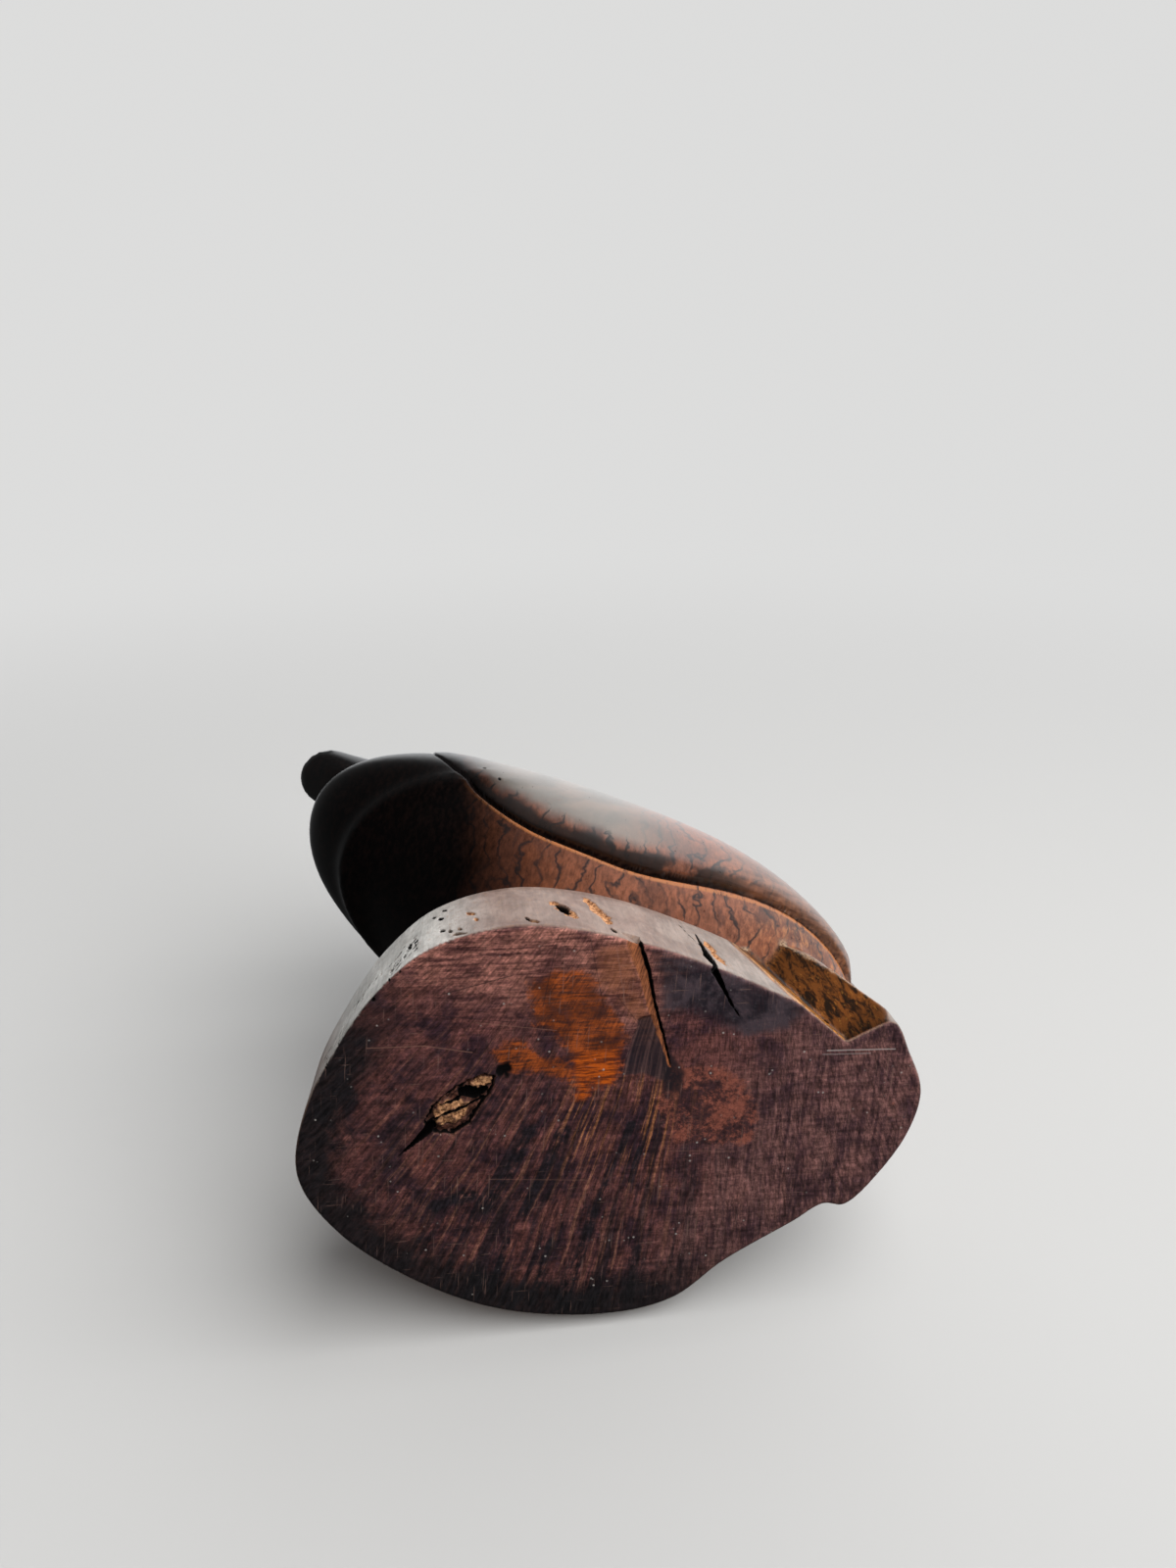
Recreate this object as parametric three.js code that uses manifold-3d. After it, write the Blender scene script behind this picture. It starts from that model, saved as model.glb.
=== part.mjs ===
// A duck carved from one block of ironwood, sitting on a thick slab that keeps its natural edge.
// Millimetres. +X is the way the bird faces, +Y is its left side, +Z is up from the sawn underside.
// The shapes are laid out about the bird: y = 0 is the plane through its bill, breast and tail.
// At the end the whole piece is moved so that the origin is below the middle of its box.

import * as THREE from "three";
import { mergeVertices } from "three/addons/utils/BufferGeometryUtils.js";
import Module from "manifold-3d";

const { degToRad, lerp, smoothstep } = THREE.MathUtils;

// Slab
const SLAB_HEIGHT = 32;
const SLAB_OUTLINE_STEPS = 104;
// The natural edge, in order round the underside, anticlockwise seen from above.
// The last stretch is the foot under the tail, which the notch parts from the rest of the slab.
const SLAB_EDGE = [
  [62.4, -29], [60.6, -14], [56.8, -0.5], [49.6, 11.5], [34.3, 21], [14, 24.4], [-8, 23.8],
  [-24, 21.8], [-36, 20.8], [-47.2, 23.4], [-54, 17.4], [-60.2, 9.9], [-61.7, 1], [-59.6, -10.5],
  [-54.9, -20.6], [-50.1, -21.7], [-45.4, -27.4], [-34, -40.6], [-26.4, -52.2], [-14.2, -59.4],
  [8, -64], [28, -61.8], [48, -54.2], [59.6, -43.6],
];
// How far the side has drawn in towards the middle at each height above the underside.
const SLAB_PROFILE = [
  [0, 0.5], [0.6, 0], [12, 0], [18, 0.3], [23, 0.9], [26.5, 1.9], [29, 3.4], [30.8, 5.5], [31.7, 8], [32, 12],
];
// The front leans in further by this much at the top. The foot keeps a crisper shoulder.
const SLAB_FRONT_LEAN = { from: 15, to: 60, inset: 2.2 };
const SLAB_FOOT_SHOULDER = { from: -24, to: -34, share: 0.35 };

// Notch between the slab and the foot under the tail
const NOTCH_CORNER = [-39.5, 16.1];
const NOTCH_LEAN = [0.43, 0.05];
const NOTCH_BACK_WALL = [-0.71, 0.7];
const NOTCH_FRONT_WALL = [0.926, 0.379];
const NOTCH_REACH = 30;

// Knot and cracks in the underside
const KNOT_CENTRE = [33.8, -18.8];
const KNOT_HALF_LENGTH = 9.5;
const KNOT_HALF_WIDTH = 3.9;
const KNOT_DEPTH = 4;
const KNOT_TURN = degToRad(119);
const CRACK_DEPTH = 3.5;
const LONG_CRACK = { path: [[12, 27.3], [6.3, 18.9], [2.4, 12.2], [-1.7, 6.3], [-5.2, 0.8]], width: 1 };
const SHORT_CRACK = { path: [[0.5, 29.5], [-3.7, 25.1], [-9.6, 19.9], [-14, 15.7], [-18, 13]], width: 1.4 };

// Body: upright sections along X, fuller above the axis than below it
const BODY_WIDEST_X = 8;
const BODY_FRONT_LENGTH = 70;
const BODY_REAR_LENGTH = 67.3;
const BODY_HALF_WIDTH = 33.5;
const BODY_HALF_HEIGHT = 33;
const BODY_AXIS_HEIGHT = 60;
const BODY_AXIS_RISE = 0.364;
const BODY_BACK_ROUNDNESS = 2.2;
const BODY_BELLY_ROUNDNESS = 1.75;
const BREAST = { from: 20, to: 77, raise: 3.5, lean: 2.2 };
const BELLY_TUCK = { from: 10, to: 60, share: 0.22 };
const BODY_STATIONS = 19;
const BODY_RING_STEPS = 44;

// Wings: raised teardrops, bounded by two angles round the section
const WING_FRONT_X = 53;
const WING_REAR_X = -58;
const WING_BROADEST_X = 25;
const WING_FRONT_ANGLE = 15;
const WING_LOW_ANGLE = -36;
const WING_HIGH_ANGLE = 70;
const WING_TAIL = { from: 10, to: -42, lowAngle: -19, highAngle: 80 };
const WING_LIFT = 2.6;
const WING_FRONT_FADE = { from: -20, to: 50, share: 0.25 };
const WING_EDGE_ANGLE = 9;
const WING_ROOT_DEPTH = 4;
const WING_STATIONS = 24;
const WING_STEPS = 13;

// Tail, turned up a little past the wings
const TAIL_ROOT = { x: -40, z: 44, halfWidth: 21, halfHeight: 12 };
const TAIL_TIP = { x: -71, z: 51.5, halfWidth: 9, halfHeight: 2.2 };

// Neck and head: level ovals, from the shoulders to the crown
const HEAD_LEAN = 0.8;
const NECK_AND_HEAD = [
  { z: 82, x: 37, halfLength: 24, halfWidth: 20 },
  { z: 97, x: 41.5, halfLength: 16, halfWidth: 14 },
  { z: 109, x: 45, halfLength: 12, halfWidth: 10.8 },
  { z: 120, x: 48, halfLength: 12.4, halfWidth: 10.6 },
  { z: 131, x: 51, halfLength: 16, halfWidth: 12 },
  { z: 139, x: 50.5, halfLength: 13.4, halfWidth: 10.2 },
  { z: 144.5, x: 49.5, halfLength: 6, halfWidth: 4.8 },
];
const CROWN_HEIGHT = 145.5;

// Bill, flattening to a broad round tip
const BILL_ROOT_X = 56;
const BILL_TIP_X = 84;
const BILL_HALF_WIDTH = 8.4;
const BILL_ROOT_HALF_HEIGHT = 9;
const BILL_TIP_HALF_HEIGHT = 3;
const BILL_ROOT_Z = 131;
const BILL_TIP_Z = 128;

// Finish
const IRONWOOD = { color: 0x3b211a, roughness: 0.32, metalness: 0 };

const wasm = await Module();
wasm.setup();

// A closed solid ready to be joined or cut.
function toSolid(geometry) {
  const bare = geometry.clone();
  bare.deleteAttribute("normal");
  bare.deleteAttribute("uv");
  const merged = mergeVertices(bare, 1e-4);
  const mesh = new wasm.Mesh({
    numProp: 3,
    vertProperties: new Float32Array(merged.attributes.position.array),
    triVerts: new Uint32Array(merged.index.array),
  });
  return new wasm.Manifold(mesh);
}

function toGeometry(solid) {
  const mesh = solid.getMesh();
  const geometry = new THREE.BufferGeometry();
  geometry.setAttribute("position", new THREE.Float32BufferAttribute(mesh.vertProperties, 3));
  geometry.setIndex(Array.from(mesh.triVerts));
  geometry.computeVertexNormals();
  return geometry;
}

// 0 before "from", 1 past "to", smooth between them.
function ease(value, { from, to }) {
  return smoothstep((value - from) / (to - from), 0, 1);
}

// A skin through rings of points, closed by a fan to one point at each end.
// Rings run anticlockwise as seen from the last one, looking back to the first.
function loft(rings, firstTip, lastTip) {
  const steps = rings[0].length;
  const points = [firstTip, ...rings.flat(), lastTip];
  const at = (ring, step) => 1 + ring * steps + (step % steps);
  const last = rings.length - 1;
  const faces = [];
  for (let step = 0; step < steps; step += 1) {
    faces.push(0, at(0, step + 1), at(0, step));
    faces.push(points.length - 1, at(last, step), at(last, step + 1));
    for (let ring = 0; ring < last; ring += 1) {
      faces.push(at(ring, step), at(ring, step + 1), at(ring + 1, step + 1));
      faces.push(at(ring, step), at(ring + 1, step + 1), at(ring + 1, step));
    }
  }
  const geometry = new THREE.BufferGeometry().setFromPoints(points);
  geometry.setIndex(faces);
  return geometry;
}

// Slab with its natural edge, drawn in towards the top and rounded over.
function makeSlab() {
  const edge = new THREE.CatmullRomCurve3(
    SLAB_EDGE.map(([x, y]) => new THREE.Vector3(x, y, 0)), true, "centripetal");
  const outline = edge.getSpacedPoints(SLAB_OUTLINE_STEPS).slice(0, -1);
  const middle = new THREE.Box3().setFromPoints(outline).getCenter(new THREE.Vector3());
  const rings = SLAB_PROFILE.map(([height, inset]) => outline.map((point) => {
    const atFront = ease(point.x, SLAB_FRONT_LEAN);
    const atFoot = ease(point.x, SLAB_FOOT_SHOULDER);
    const lean = atFront * SLAB_FRONT_LEAN.inset * (height / SLAB_HEIGHT);
    const rounding = inset * lerp(1, SLAB_FOOT_SHOULDER.share, atFoot);
    const reach = point.distanceTo(middle);
    return point.clone().lerp(middle, (lean + rounding) / reach).setZ(height);
  }));
  const top = middle.clone().setZ(SLAB_HEIGHT);
  return toSolid(loft(rings, middle, top));
}

// Wedge that leans forward as it rises and opens to the bird's left.
function makeNotchCutter() {
  const corner = new THREE.Vector2(...NOTCH_CORNER);
  const back = corner.clone().addScaledVector(new THREE.Vector2(...NOTCH_BACK_WALL), NOTCH_REACH);
  const front = corner.clone().addScaledVector(new THREE.Vector2(...NOTCH_FRONT_WALL), NOTCH_REACH);
  const below = 2;
  const wedge = new THREE.ExtrudeGeometry(new THREE.Shape([corner, front, back]), {
    depth: SLAB_HEIGHT + 2 * below, bevelEnabled: false,
  });
  wedge.translate(0, 0, -below);
  const [leanX, leanY] = NOTCH_LEAN;
  wedge.applyMatrix4(new THREE.Matrix4().makeShear(0, 0, 0, 0, leanX, leanY));
  return toSolid(wedge);
}

function makeKnotCutter() {
  const hollow = new THREE.SphereGeometry(1, 16, 8);
  hollow.scale(KNOT_HALF_LENGTH, KNOT_HALF_WIDTH, KNOT_DEPTH);
  hollow.rotateZ(KNOT_TURN);
  hollow.translate(...KNOT_CENTRE, 0);
  return toSolid(hollow);
}

// Slot along a path that is widest at its first point and closes at its last.
function makeCrackCutter({ path, width }) {
  const points = path.map(([x, y]) => new THREE.Vector2(x, y));
  const last = points.length - 1;
  const side = (sign) => points.slice(0, last).map((point, i) => {
    const along = points[i + 1].clone().sub(point).normalize();
    const half = sign * (width / 2) * (1 - i / last);
    return new THREE.Vector2(point.x - along.y * half, point.y + along.x * half);
  });
  const shape = new THREE.Shape([...side(1), points[last], ...side(-1).reverse()]);
  const slot = new THREE.ExtrudeGeometry(shape, { depth: 2 * CRACK_DEPTH, bevelEnabled: false });
  slot.translate(0, 0, -CRACK_DEPTH);
  return toSolid(slot);
}

// The body's section at x: half width, height above and depth below its axis, and where the axis is.
function bodySection(x) {
  const inFront = x > BODY_WIDEST_X;
  const reach = inFront ? BODY_FRONT_LENGTH : BODY_REAR_LENGTH;
  const t = Math.min(1, Math.abs(x - BODY_WIDEST_X) / reach);
  const widthRatio = Math.sqrt(1 - t ** (inFront ? 2.25 : 3.2));
  const heightRatio = inFront ? Math.sqrt(1 - t ** 2.5) : (1 - t ** 2) ** 0.625;
  const breast = ease(x, BREAST);
  return {
    halfWidth: BODY_HALF_WIDTH * widthRatio,
    back: BODY_HALF_HEIGHT * heightRatio,
    belly: BODY_HALF_HEIGHT * heightRatio * (1 - BELLY_TUCK.share * ease(x, BELLY_TUCK)),
    axisY: BREAST.lean * breast,
    axisZ: BODY_AXIS_HEIGHT + BODY_AXIS_RISE * x + BREAST.raise * breast,
  };
}

// Point on the body's skin at x, at an angle in degrees from the left side upwards, moved out by lift.
function bodyPoint(x, degrees, lift) {
  const { halfWidth, back, belly, axisY, axisZ } = bodySection(x);
  const angle = degToRad(degrees);
  const across = Math.cos(angle);
  const up = Math.sin(angle);
  const height = up > 0 ? back : belly;
  const n = up > 0 ? BODY_BACK_ROUNDNESS : BODY_BELLY_ROUNDNESS;
  const scale = (Math.abs(across) ** n + Math.abs(up) ** n) ** (-1 / n);
  const outward = new THREE.Vector2(across / halfWidth, up / height).normalize().multiplyScalar(lift);
  return new THREE.Vector3(
    x, axisY + halfWidth * scale * across + outward.x, axisZ + height * scale * up + outward.y);
}

function makeBody() {
  const stations = [];
  for (let i = 1 - BODY_STATIONS; i < BODY_STATIONS; i += 1) {
    const reach = i > 0 ? BODY_FRONT_LENGTH : BODY_REAR_LENGTH;
    stations.push(BODY_WIDEST_X + reach * Math.sin((Math.PI / 2) * (i / BODY_STATIONS)));
  }
  const rings = stations.map((x) => {
    const ring = [];
    for (let step = 0; step < BODY_RING_STEPS; step += 1) {
      ring.push(bodyPoint(x, (360 * step) / BODY_RING_STEPS, 0));
    }
    return ring;
  });
  const tip = (x) => new THREE.Vector3(x, bodySection(x).axisY, bodySection(x).axisZ);
  const rear = tip(BODY_WIDEST_X - BODY_REAR_LENGTH);
  const front = tip(BODY_WIDEST_X + BODY_FRONT_LENGTH);
  return toSolid(loft(rings, rear, front));
}

// The wing's lower and upper edges at x, as angles round the body's section.
function wingEdges(x) {
  const toFront = Math.max(0, (x - WING_BROADEST_X) / (WING_FRONT_X - WING_BROADEST_X));
  const spread = Math.sqrt(1 - toFront ** 2);
  const toTail = ease(x, WING_TAIL);
  const low = lerp(WING_LOW_ANGLE, WING_TAIL.lowAngle, toTail);
  const high = lerp(WING_HIGH_ANGLE, WING_TAIL.highAngle, toTail);
  return {
    low: lerp(WING_FRONT_ANGLE, low, spread),
    high: lerp(WING_FRONT_ANGLE, high, spread),
  };
}

// A wing as a pillow with rounded edges, its root sunk into the body.
// Side is 1 for the left wing and -1 for the right.
function makeWing(side) {
  const rings = [];
  for (let station = 0; station < WING_STATIONS; station += 1) {
    const t = (station + 0.5) / WING_STATIONS;
    const x = lerp(WING_REAR_X, WING_FRONT_X, Math.sin((Math.PI / 2) * t));
    const { low, high } = wingEdges(x);
    const fullLift = WING_LIFT * lerp(1, WING_FRONT_FADE.share, ease(x, WING_FRONT_FADE));
    const skin = [];
    const root = [];
    for (let step = 0; step <= WING_STEPS; step += 1) {
      const share = (1 - Math.cos((Math.PI * step) / WING_STEPS)) / 2;
      const degrees = lerp(low, high, share);
      const toEdge = Math.min(1, Math.min(degrees - low, high - degrees) / WING_EDGE_ANGLE);
      const lift = fullLift * Math.sqrt(1 - (1 - toEdge) ** 2);
      const around = side > 0 ? degrees : 180 - degrees;
      skin.push(bodyPoint(x, around, lift));
      root.push(bodyPoint(x, around, -WING_ROOT_DEPTH));
    }
    const ring = [...skin, ...root.reverse()];
    rings.push(side > 0 ? ring : ring.reverse());
  }
  return toSolid(loft(rings, middleOf(rings[0]), middleOf(rings[rings.length - 1])));
}

function middleOf(ring) {
  const sum = ring.reduce((total, point) => total.add(point), new THREE.Vector3());
  return sum.divideScalar(ring.length);
}

// Oval ring, each point put in place by its cosine and sine.
function ovalRing(steps, place) {
  const ring = [];
  for (let step = 0; step < steps; step += 1) {
    const angle = (2 * Math.PI * step) / steps;
    ring.push(place(Math.cos(angle), Math.sin(angle)));
  }
  return ring;
}

// Neck and head in one smooth skin, through the ovals named above.
function makeNeckAndHead() {
  const levels = 20;
  const spine = new THREE.CatmullRomCurve3(
    NECK_AND_HEAD.map(({ x, z }) => new THREE.Vector3(x, HEAD_LEAN, z)));
  const girth = new THREE.CatmullRomCurve3(
    NECK_AND_HEAD.map(({ halfLength, halfWidth }) => new THREE.Vector3(halfLength, halfWidth, 0)));
  const rings = [];
  for (let level = 0; level <= levels; level += 1) {
    const centre = spine.getPoint(level / levels);
    const half = girth.getPoint(level / levels);
    rings.push(ovalRing(28, (c, s) => new THREE.Vector3(
      centre.x + c * half.x, centre.y + s * half.y, centre.z)));
  }
  const crown = spine.getPoint(1).setZ(CROWN_HEIGHT);
  return toSolid(loft(rings, spine.getPoint(0), crown));
}

// Short tail, thinning and narrowing to a round end.
function makeTail() {
  const rings = [];
  const stations = 12;
  const blend = (key, t) => lerp(TAIL_ROOT[key], TAIL_TIP[key], t);
  for (let station = stations; station > 0; station -= 1) {
    const t = Math.sin((Math.PI / 2) * (1 - station / stations));
    const round = Math.sqrt(1 - t ** 8);
    rings.push(ovalRing(24, (c, s) => new THREE.Vector3(
      blend("x", t),
      c * blend("halfWidth", t) * round,
      blend("z", t ** 2) + s * blend("halfHeight", t) * round)));
  }
  const root = new THREE.Vector3(TAIL_ROOT.x, 0, TAIL_ROOT.z);
  const tip = new THREE.Vector3(TAIL_TIP.x, 0, TAIL_TIP.z);
  return toSolid(loft(rings.reverse(), tip, root));
}

// Broad bill with parallel sides and a round tip.
function makeBill() {
  const rings = [];
  const stations = 12;
  const roundFrom = BILL_TIP_X - BILL_HALF_WIDTH;
  for (let station = 0; station < stations; station += 1) {
    const t = Math.sin((Math.PI / 2) * (station / stations));
    const x = lerp(BILL_ROOT_X, BILL_TIP_X, t);
    const past = Math.max(0, (x - roundFrom) / BILL_HALF_WIDTH);
    const round = Math.sqrt(1 - past ** 2);
    const hollowed = 1 - (1 - t) ** 1.5;
    const fullHeight = lerp(BILL_ROOT_HALF_HEIGHT, BILL_TIP_HALF_HEIGHT, hollowed);
    const halfHeight = fullHeight * Math.sqrt(round);
    const z = lerp(BILL_ROOT_Z, BILL_TIP_Z, t);
    rings.push(ovalRing(24, (c, s) => new THREE.Vector3(
      x, HEAD_LEAN + c * BILL_HALF_WIDTH * round, z + s * halfHeight)));
  }
  const root = new THREE.Vector3(BILL_ROOT_X, HEAD_LEAN, BILL_ROOT_Z);
  const tip = new THREE.Vector3(BILL_TIP_X, HEAD_LEAN, BILL_TIP_Z);
  return toSolid(loft(rings, root, tip));
}

const slab = makeSlab()
  .subtract(makeNotchCutter())
  .subtract(makeKnotCutter())
  .subtract(makeCrackCutter(LONG_CRACK))
  .subtract(makeCrackCutter(SHORT_CRACK));

const carving = slab
  .add(makeBody())
  .add(makeWing(1))
  .add(makeWing(-1))
  .add(makeTail())
  .add(makeNeckAndHead())
  .add(makeBill());

const geometry = toGeometry(carving);
geometry.computeBoundingBox();
const boxCentre = geometry.boundingBox.getCenter(new THREE.Vector3());

const duck = new THREE.Mesh(geometry, new THREE.MeshStandardMaterial(IRONWOOD));
duck.name = "ironwood_duck";
duck.position.set(-boxCentre.x, -boxCentre.y, 0);

const figurine = new THREE.Group();
figurine.add(duck);

export default figurine;
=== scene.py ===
# The ironwood duck figurine: one carving, shown as the photograph shows it, from below and its left.
# The skin is a fine mesh round the same shapes as the CAD solid, with its wear carved into it.
# Shapes are in millimetres about the bird: +X the way it faces, +Y its left, +Z up from the sawn
# underside, y = 0 through bill and tail. Only the finished mesh is in metres, in the row's frame.

import math

import bpy
import numpy as np
from mathutils import Matrix, Vector


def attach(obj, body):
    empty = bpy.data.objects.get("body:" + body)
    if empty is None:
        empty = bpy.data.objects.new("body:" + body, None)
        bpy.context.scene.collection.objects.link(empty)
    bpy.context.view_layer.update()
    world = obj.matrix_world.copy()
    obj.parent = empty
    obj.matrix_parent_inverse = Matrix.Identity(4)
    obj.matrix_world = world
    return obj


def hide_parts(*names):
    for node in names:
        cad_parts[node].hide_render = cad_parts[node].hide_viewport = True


METRES = 0.001
# Where the bird's own origin is in the row's frame
BIRD_ORIGIN = np.array([-6.5, 14.1402, 0.0])

# Slab: natural edge in order round the underside, top rounded over, front leaning in
SLAB_HEIGHT = 32.0
SLAB_EDGE = [
    (62.4, -29), (60.6, -14), (56.8, -0.5), (49.6, 11.5), (34.3, 21), (14, 24.4), (-8, 23.8),
    (-24, 21.8), (-36, 20.8), (-47.2, 23.4), (-54, 17.4), (-60.2, 9.9), (-61.7, 1), (-59.6, -10.5),
    (-54.9, -20.6), (-50.1, -21.7), (-45.4, -27.4), (-34, -40.6), (-26.4, -52.2), (-14.2, -59.4),
    (8, -64), (28, -61.8), (48, -54.2), (59.6, -43.6),
]
SHOULDER_START = 18.0
SHOULDER_INSET = 12.0
SHOULDER_ROUNDNESS = 2.35
FOOT = (-20.0, -28.0)
FOOT_SHARE = 0.16
# The foot's left side swells out beside the notch, as far as a plane that leans in with height
FOOT_SWELL = 2.6
FOOT_SWELL_FULL_Z = 5.0
FOOT_SIDE_NORMAL = (-0.444, 0.870, 0.217)
FOOT_SIDE_REACH = 42.5
FRONT_LEAN = (15.0, 60.0, 2.2)
UNDERSIDE_EDGE_ROUNDING = 0.9

# Notch between the slab and the foot under the tail
NOTCH_CORNER = (-39.5, 16.1)
NOTCH_LEAN = 0.05
NOTCH_BACK_LEAN = 0.36
NOTCH_FRONT_LEAN = 0.43
NOTCH_BACK_NORMAL = (0.70, 0.71)
NOTCH_FRONT_NORMAL = (-0.379, 0.926)
NOTCH_ROUNDING = 0.5
FOOT_CORNER_ROUNDING = 2.2

# Body, round an axis that rises towards the breast
WIDEST_X = 8.0
FRONT_LENGTH = 70.0
REAR_LENGTH = 67.3
HALF_WIDTH = 33.5
HALF_HEIGHT = 33.0
AXIS_HEIGHT = 60.0
AXIS_RISE = 0.364
BACK_ROUNDNESS = 2.2
BELLY_ROUNDNESS = 1.75
SECTION_SOFTNESS = 0.4
BREAST = (20.0, 77.0)
BREAST_RAISE = 3.5
BREAST_LEAN = 2.2
BELLY_TUCK = (10.0, 60.0, 0.22)

# Wings, bounded by angles round the body's section
WING_FRONT_X = 53.0
WING_REAR_X = -58.0
WING_BROADEST_X = 25.0
WING_FRONT_ANGLE = 15.0
WING_LOW = (-36.0, -19.0)
WING_HIGH = (70.0, 80.0)
WING_NARROWS = (10.0, -42.0)
WING_LIFT = 2.6
WING_FRONT_FADE = (-20.0, 50.0, 0.25)
WING_TAIL_FADE = (-59.0, -50.0)
WING_ROUNDING = 5.2
GROOVE_DEPTH = 1.9
GROOVE_WIDTH = 1.9
GROOVE_REAR_SHARE = 0.4
GROOVE_TOP_SHARE = 0.45
GROOVE_FRONT_SHARE = 0.3

# Tail
TAIL_ROOT_X = -40.0
TAIL_TIP_X = -71.0
TAIL_Z = (44.0, 51.5)
TAIL_HALF_WIDTH = (21.0, 9.0)
TAIL_HALF_HEIGHT = (12.0, 2.2)

# Neck, head and bill
HEAD_LEAN = 0.8
NECK_Z = 109.0
NECK_X = 45.0
NECK_SLOPE = 0.29
NECK_HALF = (12.0, 10.7)
NECK_SWELL = (12.0, 9.3)
NECK_SWELL_REACH = 27.0
NECK_ENDS = (70.0, 126.0)
HEAD_CENTRE = (50.7, 0.8, 130.0)
HEAD_HALF = (16.2, 12.0, 15.5)
BILL_X = (56.0, 84.0)
BILL_Z = (131.0, 128.0)
BILL_HALF_WIDTH = 8.4
BILL_HALF_HEIGHT = (9.0, 3.0)

# Mesh
GRID_STEP = 1.6
GRID_LOW = (-73.0, -66.5, -2.6)
GRID_HIGH = (86.5, 38.5, 148.5)
SMALL = 1e-6


def ease(value, start, end):
    share = np.clip((value - start) / (end - start), 0, 1)
    return share * share * (3 - 2 * share)


def lerp(a, b, share):
    return a + (b - a) * share


def smooth_min(a, b, reach):
    share = np.clip(0.5 + 0.5 * (b - a) / reach, 0, 1)
    return lerp(b, a, share) - reach * share * (1 - share)


def smooth_max(a, b, reach):
    return -smooth_min(-a, -b, reach)


def closed_curve(corners, steps=10):
    """Centripetal Catmull-Rom through the corners, closed."""
    corners = np.array(corners, float)
    before, start = np.roll(corners, 1, 0), corners
    end, after = np.roll(corners, -1, 0), np.roll(corners, -2, 0)
    gap = [np.sqrt(np.linalg.norm(b - a, axis=1))[:, None]
           for a, b in ((before, start), (start, end), (end, after))]
    leave = ((start - before) / gap[0] - (end - before) / (gap[0] + gap[1])) * gap[1] + end - start
    arrive = ((after - end) / gap[2] - (after - start) / (gap[1] + gap[2])) * gap[1] + end - start
    t = (np.arange(steps) / steps)[None, :, None]
    start, end, leave, arrive = (v[:, None, :] for v in (start, end, leave, arrive))
    curve = ((2 * t**3 - 3 * t**2 + 1) * start + (t**3 - 2 * t**2 + t) * leave
             + (3 * t**2 - 2 * t**3) * end + (t**3 - t**2) * arrive)
    return curve.reshape(-1, 2)


def path_distance(points, path):
    """Distance to a line through the path's points, and how far along it, from 0 to 1."""
    path = np.array(path, float)
    starts, spans = path[:-1], np.diff(path, axis=0)
    lengths = np.linalg.norm(spans, axis=1)
    begun = np.concatenate([[0], np.cumsum(lengths)])
    best = np.full(len(points), np.inf)
    along = np.zeros(len(points))
    for start, span, length, before in zip(starts, spans, lengths, begun):
        share = np.clip((points - start) @ span / length**2, 0, 1)
        away = np.linalg.norm(points - start - share[:, None] * span, axis=1)
        nearer = away < best
        best = np.where(nearer, away, best)
        along = np.where(nearer, before + share * length, along)
    return best, along / begun[-1]


def outline_distance(points, outline):
    """Distance to a closed outline, negative inside it."""
    outline = np.array(outline, float)
    away, _ = path_distance(points, np.vstack([outline, outline[:1]]))
    x, y = points.T
    inside = np.zeros(len(points), bool)
    for (x0, y0), (x1, y1) in zip(outline, np.roll(outline, -1, 0)):
        if y0 != y1:
            crossed = (y0 > y) != (y1 > y)
            inside ^= crossed & (x < (x1 - x0) * (y - y0) / (y1 - y0) + x0)
    return np.where(inside, -away, away)


class Table:
    """A function of two coordinates, worked out once on a grid and read smoothly from it."""

    def __init__(self, low, high, step, function):
        self.low, self.step = np.array(low, float), np.array(step, float)
        counts = np.ceil((np.array(high) - self.low) / self.step).astype(int) + 1
        rows, columns = np.meshgrid(*(np.arange(n) for n in counts), indexing="ij")
        places = np.stack([rows.ravel(), columns.ravel()], 1) * self.step + self.low
        self.values = function(places).reshape(counts)

    def __call__(self, u, v):
        at = (np.stack([u, v], 1) - self.low) / self.step
        at = np.clip(at, 0, np.array(self.values.shape) - 1.001)
        cell = at.astype(int)
        (i, j), (s, t) = cell.T, (at - cell).T
        low = lerp(self.values[i, j], self.values[i + 1, j], s)
        high = lerp(self.values[i, j + 1], self.values[i + 1, j + 1], s)
        return lerp(low, high, t)


def section_shares(x):
    """How full the body's section is at x, in width and in height, and how far along it is."""
    in_front = x > WIDEST_X
    along = np.abs(x - WIDEST_X) / np.where(in_front, FRONT_LENGTH, REAR_LENGTH)
    inner = np.minimum(along, 0.9999)
    width = np.sqrt(1 - inner ** np.where(in_front, 2.25, 3.2))
    height = np.where(in_front, np.sqrt(1 - inner**2.5), (1 - inner**2) ** 0.625)
    return width, height, along


def about_axis(p):
    """Place across and above the body's axis, as shares of the section at its widest."""
    x, y, z = p.T
    width, height, _ = section_shares(x)
    breast = ease(x, *BREAST)
    across = (y - BREAST_LEAN * breast) / HALF_WIDTH
    above = z - (AXIS_HEIGHT + AXIS_RISE * x + BREAST_RAISE * breast)
    below_axis = 1 - BELLY_TUCK[2] * ease(x, *BELLY_TUCK[:2])
    half_height = HALF_HEIGHT * lerp(below_axis, 1, ease(above, -12, 12))
    above = above * (width / height) / half_height
    return across, above


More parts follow.
